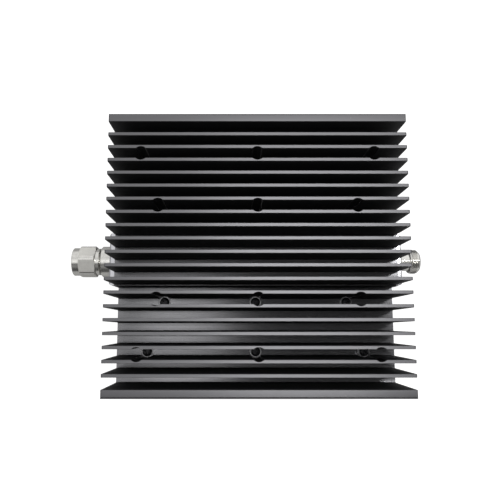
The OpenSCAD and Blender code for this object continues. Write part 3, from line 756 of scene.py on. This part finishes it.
def thread_tree(name, inside, values):
    """Adds a helical ridge to a turned blank, or cuts a helical groove into its bore."""
    tree, take = new_tree(name, values)
    turns = take["Length"] / take["Pitch"]
    spiral = add(tree, "GeometryNodeCurveSpiral", {
        "Resolution": take["Steps"], "Rotations": turns, "Start Radius": take["Radius"],
        "End Radius": take["Radius"], "Height": take["Length"]})
    spiral = moved(spiral, xyz(z=take["Start"]))
    spiral = add(tree, "GeometryNodeSetCurveNormal", {"Curve": spiral}, mode="Z_UP")
    # The profile's X points at the axis. Its foot is just inside the blank, and no turn touches
    # the next.
    foot, crest = take["Pitch"] * THREAD_FOOT, take["Pitch"] * THREAD_CREST
    low, high = take["Ridge"] * 0.1, -take["Ridge"]
    corners = ((low, foot), (high, crest), (high, -crest), (low, -foot))
    profile = add(tree, "GeometryNodeCurvePrimitiveQuadrilateral", {
        f"Point {i + 1}": xyz(*corner) for i, corner in enumerate(corners)}, mode="POINTS")
    # At both ends it grows from nearly nothing to its full size within 0.4 of a turn
    along = add(tree, "GeometryNodeSplineParameter")
    edge = maths("MINIMUM", along, 1.0 - along)
    ridge = add(tree, "GeometryNodeCurveToMesh", {
        "Curve": spiral, "Profile Curve": profile, "Fill Caps": True,
        "Scale": ramp(edge * turns * 2.5, 0.0, 1.0, 0.04)})
    solid = (cut if inside else united)(take["Geometry"], ridge)
    close_tree(moved(solid, take["Place"], take["Turn"]), take["Material"])
    return tree


# ---- Operators: the pieces ----


def rows_of(sizes):
    """Where the rows of clamping screws are."""
    return {"Inner X": sizes.inner_row_x, "Inner Y": sizes.inner_row_y,
            "Outer X": sizes.outer_row_x, "Outer Y": sizes.outer_row_y}


def thread_values(sizes, core):
    """What the socket's and the nut's threads have in common."""
    return {"Pitch": sizes.thread_pitch, "Radius": core, "Ridge": sizes.thread_ridge,
            "Steps": TURN_STEPS}


class MakeHeatSinks(bpy.types.Operator):
    """Make both finned extrusions, the upper one milled for the driver, and anodise them black"""

    bl_idname = "attenuator.make_heat_sinks"
    bl_label = "Heat sinks"

    # Name, index of refraction, roughness of the smooth faces and of the flanks, spread of the gloss
    LOOKS = (("black_anodised", 2.4, 0.20, 0.45, 0.7),
             ("black_channel_sides", 1.55, 0.20, 0.65, 0.0),
             ("black_channel_floors", 2.4, 0.16, 0.45, 0.1))
    FOOT_ROUND, WALL_ROUND = 0.5 * MM, 1.5 * MM
    PARTING_EDGE, SPINE_EDGE = 0.4 * MM, 0.35 * MM
    # How deep the driver holes go into the base, as seats for the flat washers
    WASHER_SEAT = 0.3 * MM
    CLEAR_HOLE, TAPPED_HOLE, TAPPED_TO = 3.4 * MM, 3.0 * MM, 6.6 * MM
    UPPER_CAVITY, LOWER_CAVITY, LOWER_POCKET = 7 * MM, 2 * MM, 3.9 * MM
    # What the end plates, the boards and the element need, in metres
    FITTINGS = {
        "End Hole": 0.003, "End Hole Depth": 0.007, "Cavity Width": 0.016, "Pocket Length": 0.0108,
        "Pocket Width": 0.0254, "Board Hole": 0.002, "Board Hole Depth": 0.007,
        "Board Near X": 0.0126, "Board Far X": 0.0808, "Board Y": 0.00465, "Element Hole": 0.003,
        "Element Hole Depth": 0.0099, "Element Y": 0.0092}

    def execute(self, context):
        sizes = context.scene.attenuator_sizes
        black = context.scene.attenuator_finishes.anodised_black
        material, sides, floors = [black_anodised(name, black, *look) for name, *look in self.LOOKS]
        shared = {
            **self.FITTINGS, **rows_of(sizes), "Fins": sizes.fin_count,
            "Spine Fins": sizes.spine_fins, "Length": 2 * SINK_HIGH.x,
            "Width": 2 * SINK_HIGH.y, "Height": TIP_REACH, "Pitch": sizes.fin_pitch,
            "Foot": sizes.fin_root, "Tip": sizes.fin_tip, "Tip Edge": sizes.tip_break,
            "Foot Round": self.FOOT_ROUND, "Base": sizes.base, "Spine Rise": sizes.spine_rise,
            "End Bevel": sizes.end_bevel, "Driver Hole": sizes.driver_hole,
            "Driver Hole From": sizes.base - self.WASHER_SEAT,
            "End Hole Offset": sizes.plate_spacing / 2, "Place": (0, 0, AXIS_Z),
            "Material": material, "Side Material": sides, "Floor Material": floors}
        upper = {"Upper": True, "Clamp Hole": self.CLEAR_HOLE, "Clamp Hole To": sizes.base + PAST,
                 "Cavity Depth": self.UPPER_CAVITY, "Pocket Depth": self.UPPER_CAVITY,
                 "Turn": (0, 0, 0)}
        lower = {"Upper": False, "Clamp Hole": self.TAPPED_HOLE, "Clamp Hole To": self.TAPPED_TO,
                 "Cavity Depth": self.LOWER_CAVITY, "Pocket Depth": self.LOWER_POCKET,
                 "Turn": (math.pi, 0, 0)}
        tree = finned_sink_tree({**shared, **upper})
        for name, node, own in (("upper_finned_sink", "upper_heat_sink", upper),
                                ("lower_finned_sink", "lower_heat_sink", lower)):
            piece = self.trough(name, sizes)
            grow(piece, tree, {**shared, **own}, sharp=12)
            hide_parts(node)
            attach(piece, "attenuator")
        return {"FINISHED"}

    def trough(self, name, sizes):
        """The base with its spine and side walls, a bar along X with its parting face at height 0."""
        wide, high = SINK_HIGH.y, TIP_REACH
        inside, foot, corner = wide - sizes.side_wall, self.FOOT_ROUND, self.WALL_ROUND
        spine_top = sizes.base + sizes.spine_rise
        spine = sizes.spine_fins // 2 * sizes.fin_pitch + sizes.fin_root / 2 + MM
        half = [(wide - self.PARTING_EDGE, 0), (wide, self.PARTING_EDGE)]
        half += arc(wide - corner, high - corner, corner, 0, 90, 6)
        half += [(inside + sizes.tip_break, high), (inside, high - sizes.tip_break)]
        half += arc(inside - foot, sizes.base + foot, foot, 0, -90, 4)
        half += [(spine, sizes.base), (spine, spine_top - self.SPINE_EDGE),
                 (spine - self.SPINE_EDGE, spine_top)]
        section = half + [(-y, z) for y, z in reversed(half)]
        mesh = bmesh.new()
        ends = [[mesh.verts.new((x, y, z)) for y, z in section] for x in (-SINK_HIGH.x, SINK_HIGH.x)]
        for i in range(len(section)):
            mesh.faces.new([ends[0][i - 1], ends[0][i], ends[1][i], ends[1][i - 1]])
        for loop in ends:
            mesh.faces.new(loop)
        return new_piece(name, mesh)


class DressEndPlates(bpy.types.Operator):
    """Anodise the end plates clear"""

    bl_idname = "attenuator.dress_end_plates"
    bl_label = "End plates"

    def execute(self, context):
        finishes = context.scene.attenuator_finishes
        dress(clear_anodised(finishes.anodised_clear), "plug_end_plate", "socket_end_plate")
        return {"FINISHED"}


class MakeClampScrews(bpy.types.Operator):
    """Make the twelve clamping screws with their spring and flat washers"""

    bl_idname = "attenuator.make_clamp_screws"
    bl_label = "Clamping screws and washers"

    # Shares of the head's height
    RIM, RECESS = 0.4, 0.6
    TIP_BEVEL, HEAD_EDGE = 0.4 * MM, 0.1 * MM
    WASHER_BORE = 1.6 * MM
    # The spring washer's steps, half its gap and its slant, both in radians
    SPLIT_STEPS, SPLIT_GAP, SPLIT_SLANT = 44, 0.11, 0.1

    def execute(self, context):
        sizes = context.scene.attenuator_sizes
        finishes = context.scene.attenuator_finishes
        black = screw_metal("black_zinc", finishes.black_zinc, 0.6, 0.26)
        rows = {**rows_of(sizes), "Seed": 3}
        flat_low, flat_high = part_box("flat_washers")
        spring_low, spring_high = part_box("spring_washers")

        head_h, head_r = SCREWS_HIGH.z - spring_high.z, sizes.clamp_head / 2
        rim = self.RIM * head_h
        crown = head_h - rim
        shank, foot = sizes.clamp_thread / 2, SCREWS_LOW.z - spring_high.z
        outline = [(0, foot), (shank - self.TIP_BEVEL, foot), (shank, foot + self.TIP_BEVEL),
                   (shank, 0), (head_r - self.HEAD_EDGE, 0), (head_r, self.HEAD_EDGE)]
        outline += arc(head_r - crown, rim, crown, 0, 90, 8) + [(0, head_h)]
        piece = turned("clamping_screws", outline, SMALL_SIDES)
        values = {**rows, "Height": spring_high.z, "Head": sizes.clamp_head, "Head Top": head_h,
                  "Recess Depth": self.RECESS * head_h, "Material": black}
        grow(piece, clamp_row_tree("clamping_screw_rows", values), values)
        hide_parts("heat_sink_screws")
        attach(piece, "attenuator")

        ring = self.washer_outline(flat_high.x - sizes.outer_row_x, flat_high.z - flat_low.z)
        piece = turned("round_washers", ring, SMALL_SIDES)
        values = {**rows, "Height": flat_low.z,
                  "Material": screw_metal("zinc_washer", finishes.zinc, 0.9, 0.3)}
        rows_only = clamp_row_tree("washer_rows", values)
        grow(piece, rows_only, values)
        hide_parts("flat_washers")
        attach(piece, "attenuator")

        piece = self.split_washer(spring_high.x - sizes.outer_row_x, spring_high.z - spring_low.z)
        grow(piece, rows_only, {**rows, "Height": spring_low.z, "Material": black})
        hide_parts("spring_washers")
        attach(piece, "attenuator")
        return {"FINISHED"}

    def washer_outline(self, outside, thickness):
        """Section of a stamped washer with rolled edges."""
        inside, edge = self.WASHER_BORE, 0.12 * thickness
        return [(inside, 0), (outside, 0), (outside, thickness - edge), (outside - edge, thickness),
                (inside + edge, thickness), (inside, thickness - edge)]

    def split_washer(self, outside, thickness):
        """A ring with a slanting cut, squeezed flat."""
        mesh = bmesh.new()
        inside, gap = self.WASHER_BORE, self.SPLIT_GAP
        section = [(inside, 0, -1), (outside, 0, -1), (outside, thickness, 1), (inside, thickness, 1)]
        loops = []
        for step in range(self.SPLIT_STEPS + 1):
            share = step / self.SPLIT_STEPS
            angle = math.pi / 2 + gap + share * 2 * (math.pi - gap)
            slant = self.SPLIT_SLANT * abs(1 - 2 * share)
            loops.append([mesh.verts.new(polar(radius, angle + side * slant, height))
                          for radius, height, side in section])
        for here, there in zip(loops, loops[1:]):
            for i in range(4):
                mesh.faces.new([here[i], here[(i + 1) % 4], there[(i + 1) % 4], there[i]])
        mesh.faces.new(loops[0])
        mesh.faces.new(loops[-1])
        return new_piece("split_washers", mesh)


class MakePlateScrews(bpy.types.Operator):
    """Make the eight countersunk screws of the end plates"""

    bl_idname = "attenuator.make_plate_screws"
    bl_label = "End plate screws"

    def execute(self, context):
        sizes = context.scene.attenuator_sizes
        low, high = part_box("socket_plate_screws")
        head = sizes.plate_head / 2
        shank, sink, flat = 1.45 * MM, 1.5 * MM, 0.2 * MM
        bevel, edge, recess = 0.4 * MM, 0.05 * MM, 1.3 * MM
        foot = low.x - high.x
        outline = [(0, foot), (shank - bevel, foot), (shank, foot + bevel), (shank, -sink),
                   (head, -flat), (head, -edge), (head - edge, 0), (0, 0)]
        piece = turned("countersunk_screws", outline, SMALL_SIDES)
        black = context.scene.attenuator_finishes.black_zinc
        values = {"Spacing": sizes.plate_spacing, "Plate Face": high.x, "Axis Height": AXIS_Z,
                  "Head": sizes.plate_head, "Recess Depth": recess, "Seed": 8,
                  "Material": screw_metal("black_zinc_screw", black, 0.6, 0.26)}
        grow(piece, plate_row_tree(values), values)
        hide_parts("plug_plate_screws", "socket_plate_screws")
        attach(piece, "attenuator")
        return {"FINISHED"}


class MakeSocket(bpy.types.Operator):
    """Make the socket's body with its outside thread"""

    bl_idname = "attenuator.make_socket"
    bl_label = "Threaded socket"

    def execute(self, context):
        sizes = context.scene.attenuator_sizes
        plate, end = PLATE_FACE - SOCKET_LOW.x, SOCKET_HIGH.x - PLATE_FACE
        spigot, shoulder, shoulder_to = 8 * MM, SOCKET_HIGH.y, 2 * MM
        core = sizes.thread_d / 2 - sizes.thread_ridge
        thread_from = end - sizes.thread_len
        neck, fillet, edge, chamfer = 6 * MM, 0.2 * MM, 0.2 * MM, 0.4 * MM
        bevel = sizes.thread_bevel - sizes.thread_ridge
        bore, mouth, floor = 3.5 * MM, 4.065 * MM, end - 9.1 * MM
        outline = [
            (bore, -plate), (spigot - chamfer, -plate), (spigot, chamfer - plate), (spigot, 0),
            (shoulder, 0), (shoulder, shoulder_to - chamfer), (shoulder - chamfer, shoulder_to),
            (neck + fillet, shoulder_to), (neck, shoulder_to + fillet), (neck, thread_from),
            (core - edge, thread_from), (core, thread_from + edge), (core, end - bevel),
            (core - bevel, end), (mouth + chamfer, end), (mouth, end - chamfer), (mouth, floor),
            (bore, floor)]
        run_in, run_out = 0.6 * MM, 0.4 * MM
        piece = turned("threaded_socket", outline, sizes.steps_round)
        values = {
            **thread_values(sizes, core), "Start": thread_from + run_in,
            "Length": sizes.thread_len - sizes.thread_bevel - run_out,
            "Turn": (0, math.pi / 2, 0), "Place": (PLATE_FACE, 0, AXIS_Z),
            "Material": bpy.data.materials["turned_nickel"]}
        grow(piece, thread_tree("outside_thread", False, values), values)
        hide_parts("socket_body")
        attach(piece, "attenuator")
        return {"FINISHED"}


class MakeCouplingNut(bpy.types.Operator):
    """Make the hexagon coupling nut with its inside thread"""

    bl_idname = "attenuator.make_coupling_nut"
    bl_label = "Coupling nut"

    # Places along the nut, from its lip: the snap ring's groove, and the relief behind the thread
    GROOVE_FROM, GROOVE_TO, RELIEF_FROM, RELIEF_TO = 2.3 * MM, 3.9 * MM, 4.9 * MM, 6.9 * MM
    THREAD_FROM, THREAD_SHORTER = 7.6 * MM, 8.6 * MM
    GROOVE_DEPTH, RELIEF_DEPTH, BORE_STEP = 0.9 * MM, 0.16 * MM, 0.375 * MM
    MOUTH_BEVEL, CORNER_LOSS, LIP_STEP, TOOL_EDGE = 0.8 * MM, 0.52 * MM, 0.25 * MM, 0.05 * MM

    def execute(self, context):
        sizes = context.scene.attenuator_sizes
        length = NUT_HIGH.x - NUT_LOW.x
        soft, lip_edge, edge = 0.4 * MM, 0.12 * MM, self.TOOL_EDGE
        flat = sizes.hexagon / 2
        corner = flat / math.cos(math.pi / 6) - self.CORNER_LOSS
        lip_r, collar_r = flat - 0.7 * MM, flat - 0.3 * MM
        core = sizes.thread_d / 2 - sizes.thread_ridge
        relief_r = sizes.thread_d / 2 + self.RELIEF_DEPTH
        bore = core - self.BORE_STEP
        groove_r = bore + self.GROOVE_DEPTH
        hex_from, hex_to = sizes.nut_lip, length - sizes.nut_collar
        slope = math.tan(math.pi / 6)

        def outline(angle):
            """The nut's section at an angle: turned inside and at both ends, a hexagon between."""
            from_flat = (angle - sizes.nut_angle) % (math.pi / 3) - math.pi / 6
            side = min(flat / math.cos(from_flat), corner)
            ease = (side - flat) * slope + 0.02 * MM
            return [
                (bore + soft, 0), (lip_r - lip_edge, 0), (lip_r, lip_edge), (lip_r, hex_from - edge),
                (flat - self.LIP_STEP, hex_from), (flat - edge, hex_from), (side, hex_from + ease),
                (side, hex_to - ease), (flat - edge, hex_to), (collar_r, hex_to),
                (collar_r, length - soft), (collar_r - soft, length),
                (core + self.MOUTH_BEVEL, length), (core, length - self.MOUTH_BEVEL),
                (core, self.RELIEF_TO + soft), (relief_r, self.RELIEF_TO),
                (relief_r, self.RELIEF_FROM), (bore, self.RELIEF_FROM), (bore, self.GROOVE_TO),
                (groove_r, self.GROOVE_TO), (groove_r, self.GROOVE_FROM), (bore, self.GROOVE_FROM),
                (bore, soft)]

        nickel = context.scene.attenuator_finishes.nickel
        hexagon = (NUT_HIGH.x - hex_to, NUT_HIGH.x - hex_from, flat - 0.1 * MM, corner - edge)
        piece = turned("hexagon_coupling_nut", outline, sizes.steps_round)
        values = {
            **thread_values(sizes, core), "Start": self.THREAD_FROM,
            "Length": length - self.THREAD_SHORTER,
            "Turn": (0, -math.pi / 2, 0), "Place": (NUT_HIGH.x, 0, AXIS_Z),
            "Material": turned_metal("milled_nickel", nickel, 0.17, 0.004 * MM, hexagon)}
        grow(piece, thread_tree("inside_thread", True, values), values)
        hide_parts("coupling_nut")
        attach(piece, "coupling_nut")
        return {"FINISHED"}


class DressConnectors(bpy.types.Operator):
    """Plate the plug's body, ring and contacts, and dress the insulators and the gasket"""

    bl_idname = "attenuator.dress_connectors"
    bl_label = "Plug and contacts"

    def execute(self, context):
        finishes = context.scene.attenuator_finishes
        dress(turned_metal("turned_nickel", finishes.nickel, 0.17, 0.004 * MM),
              "plug_body", "snap_ring", "coupling_nut", "socket_body")
        dress(turned_metal("turned_gold", finishes.gold, 0.2, 0.003 * MM),
              "plug_centre_pin", "socket_centre_contact")
        dress(soft_plastic("ptfe", (0.93, 0.93, 0.91), 0.42, 0.12 * MM, 0.004 * MM, 0.15),
              "plug_insulator", "socket_insulator")
        dress(soft_plastic("silicone", finishes.silicone, 0.55, 0.08 * MM, 0.006 * MM), "plug_gasket")
        return {"FINISHED"}


class DressCavity(bpy.types.Operator):
    """Dress the line boards, tracks, tabs and the resistive element inside"""

    bl_idname = "attenuator.dress_cavity"
    bl_label = "Boards and element"

    def execute(self, context):
        dress(laminate(), "plug_line_board", "socket_line_board")
        dress(rolled_foil("copper_foil", (0.78, 0.42, 0.27), 0.25),
              "plug_line_track", "socket_line_track", "element_flange")
        dress(rolled_foil("silver_foil", (0.85, 0.84, 0.82), 0.18),
              "plug_side_tab", "socket_side_tab")
        dress(soft_plastic("ceramic", (0.92, 0.92, 0.89), 0.4, 0.05 * MM, 0.002 * MM),
              "element_substrate", "element_lid")
        dress(screw_metal("zinc_screw", context.scene.attenuator_finishes.zinc, 0.9, 0.3),
              "board_screws", "element_screws")
        return {"FINISHED"}


# ---- Operator: the stage ----


def light_rays(tree):
    """1 on what the camera sees, directly or through something, and 1 on what gloss shows."""
    path = add(tree, "ShaderNodeLightPath")
    seen = maths("ADD", path.out("Is Camera Ray"), path.out("Is Transmission Ray"), clamp=True)
    return seen, path.out("Is Glossy Ray")


class BuildStage(bpy.types.Operator):
    """Set up the floor, the white room, three lamps and the camera"""

    bl_idname = "attenuator.build_stage"
    bl_label = "Studio and camera"

    # Angles from overhead towards +Y, each with the brightness that gloss finds there
    LEFT_PANELS = ((-92, 0.2), (-86, 0.08), (-66, 0.07), (-54, 0.18), (-42, 0.28), (-30, 0.18),
                   (-24, 0.15), (-15, 0.6), (-9, 1.0), (2, 1.0), (13, 0.9), (20, 0.75), (28, 0.65),
                   (36, 0.85), (92, 0.75))
    RIGHT_PANELS = ((-92, 0.6), (-76, 0.6), (-64, 0.14), (-22, 0.12), (-10, 0.3), (-4, 0.4),
                    (4, 1.0), (10, 1.0), (18, 0.85), (26, 0.8), (34, 1.0), (92, 0.95))
    # Where the dark gap in the ceiling is, the cosines at its edge and middle, and what is left there
    GAP_AIM, GAP_EDGE, GAP_MIDDLE, GAP_LEVEL = (0.15, 0.0, 0.989), 0.966, 0.984, 0.10
    # Each lamp's name, place, width and depth, and the setting with its power
    LAMPS = (("key_soft_box", (0.25, 0.21, 1.6), (0.64, 0.10), "key_power"),
             ("low_soft_box", (0.20, -0.30, 1.6), (0.50, 0.10), "low_power"),
             ("left_lamp", (-0.17, -0.035, 1.56), (0.26, 0.18), "spot_power"))
    # The floor's drop below the part, its glow as it is seen and the share of that in gloss
    FLOOR_DROP, FLOOR_GLOW, FLOOR_IN_GLOSS = 0.1 * MM, 0.86, 0.05
    LENS, SENSOR, SHIFT_X, CLIP = 40.44, 36.0, 0.0378, 0.02
    CAMERA_PLACE, CAMERA_TILT = (-0.0155, -0.04324, 0.4242), math.radians(7.864)

    def execute(self, context):
        studio = context.scene.attenuator_studio
        self.lay_floor(studio)
        self.paint_room(context.scene, studio)
        for name, place, shape, setting in self.LAMPS:
            self.hang_lamp(name, place, shape, getattr(studio, setting))
        self.set_camera(context.scene)
        context.scene.view_settings.view_transform = "Standard"
        return {"FINISHED"}

    def lay_floor(self, studio):
        """Grey paper that glows nearly white where it is seen."""
        mesh = bmesh.new()
        bmesh.ops.create_grid(mesh, x_segments=4, y_segments=4, size=studio.floor_size / 2)
        floor = new_piece("studio_floor", mesh, outward=False)
        floor.location.z = -self.FLOOR_DROP
        material = bpy.data.materials.new("studio_paper")
        tree = cleared_tree(material)
        paper = add(tree, "ShaderNodeBsdfDiffuse", {"Color": (0.6, 0.6, 0.6, 1.0)})
        seen, glossy = light_rays(tree)
        seen = maths("MULTIPLY_ADD", glossy, self.FLOOR_IN_GLOSS, seen, clamp=True)
        glow = add(tree, "ShaderNodeEmission", {
            "Color": (1, 1, 1, 1), "Strength": seen * self.FLOOR_GLOW})
        both = add(tree, "ShaderNodeAddShader", {0: paper, 1: glow})
        add(tree, "ShaderNodeOutputMaterial", {"Surface": both})
        floor.data.materials.append(material)

    def paint_room(self, scene, studio):
        """White where it is seen, and an even light on what is matt. Gloss shows the panels, left
        and right ones blended along X, and the dark gap overhead."""
        world = bpy.data.worlds.new("studio_room")
        tree = cleared_tree(world)
        aim = add(tree, "ShaderNodeTexCoord").out("Generated")
        x, y, z = parts(aim)
        round_axis = maths("DEGREES", maths("ARCTAN2", y, z))
        panels = mix(ramp(x, -0.2, 0.2), self.panels(round_axis, self.LEFT_PANELS),
                     self.panels(round_axis, self.RIGHT_PANELS))
        to_gap = add(aim, "ShaderNodeVectorMath", {0: aim, 1: self.GAP_AIM},
                     operation="DOT_PRODUCT").out("Value")
        gap = ramp(to_gap, self.GAP_EDGE, self.GAP_MIDDLE, 1.0, self.GAP_LEVEL)
        seen, glossy = light_rays(tree)
        level = mix(seen, mix(glossy, studio.fill, panels * gap), 1.0)
        glow = add(tree, "ShaderNodeBackground", {"Color": (1, 1, 1, 1), "Strength": level})
        add(tree, "ShaderNodeOutputWorld", {"Surface": glow})
        scene.world = world

    def panels(self, degrees, stops):
        """Brightness of the room by the angle from overhead towards +Y."""
        node = add(degrees, "ShaderNodeValToRGB", {0: (degrees + 180.0) / 360.0}).node
        while len(node.color_ramp.elements) < len(stops):
            node.color_ramp.elements.new(0.5)
        for element, (angle, level) in zip(node.color_ramp.elements, stops):
            element.position = (angle + 180) / 360
            element.color = (level, level, level, 1.0)
        return Wire(node)

    def hang_lamp(self, name, place, shape, watts):
        """A rectangular lamp that shines straight down, itself unseen."""
        data = bpy.data.lights.new(name, "AREA")
        data.shape = "RECTANGLE"
        data.size, data.size_y = shape
        data.energy = watts
        lamp = new_object(name, data)
        lamp.location = place
        lamp.visible_camera = False

    def set_camera(self, scene):
        """The photograph's camera, nearly overhead."""
        data = bpy.data.cameras.new("photo_camera")
        data.lens = self.LENS
        data.sensor_width = self.SENSOR
        data.shift_x = self.SHIFT_X
        data.clip_start = self.CLIP
        camera = new_object("photo_camera", data)
        camera.location = self.CAMERA_PLACE
        camera.rotation_euler = (self.CAMERA_TILT, 0, 0)
        scene.camera = camera


# ---- Panel and registration ----

STEPS = (MakeHeatSinks, DressEndPlates, DressConnectors, DressCavity, MakeClampScrews,
         MakePlateScrews, MakeSocket, MakeCouplingNut, BuildStage)


class AttenuatorPanel(bpy.types.Panel):
    """The sizes, the finishes and the steps, in order"""

    bl_idname = "VIEW3D_PT_attenuator"
    bl_label = "Coaxial attenuator"
    bl_space_type = "VIEW_3D"
    bl_region_type = "UI"
    bl_category = "Attenuator"

    def draw(self, context):
        for group in GROUPS:
            holder = getattr(context.scene, group)
            box = self.layout.box()
            for key in holder.bl_rna.properties.keys():
                if key not in ("rna_type", "name"):
                    box.prop(holder, key)
        for step in STEPS:
            self.layout.operator(step.bl_idname)


GROUPS = {"attenuator_sizes": AttenuatorSizes, "attenuator_finishes": AttenuatorFinishes,
          "attenuator_studio": AttenuatorStudio}


def register():
    """Makes the groups, the steps and the panel known, and puts the groups on each scene."""
    for cls in (*GROUPS.values(), *STEPS, AttenuatorPanel):
        bpy.utils.register_class(cls)
    for name, cls in GROUPS.items():
        setattr(bpy.types.Scene, name, PointerProperty(type=cls))


def unregister():
    """Takes back what register did."""
    for name in GROUPS:
        delattr(bpy.types.Scene, name)
    for cls in reversed((*GROUPS.values(), *STEPS, AttenuatorPanel)):
        bpy.utils.unregister_class(cls)


def main():
    """Registers everything and makes the pieces in order."""
    register()
    bpy.ops.attenuator.make_heat_sinks()
    bpy.ops.attenuator.dress_end_plates()
    bpy.ops.attenuator.dress_connectors()
    bpy.ops.attenuator.dress_cavity()
    bpy.ops.attenuator.make_clamp_screws()
    bpy.ops.attenuator.make_plate_screws()
    bpy.ops.attenuator.make_socket()
    bpy.ops.attenuator.make_coupling_nut()
    bpy.ops.attenuator.build_stage()


if __name__ == "__main__":
    main()
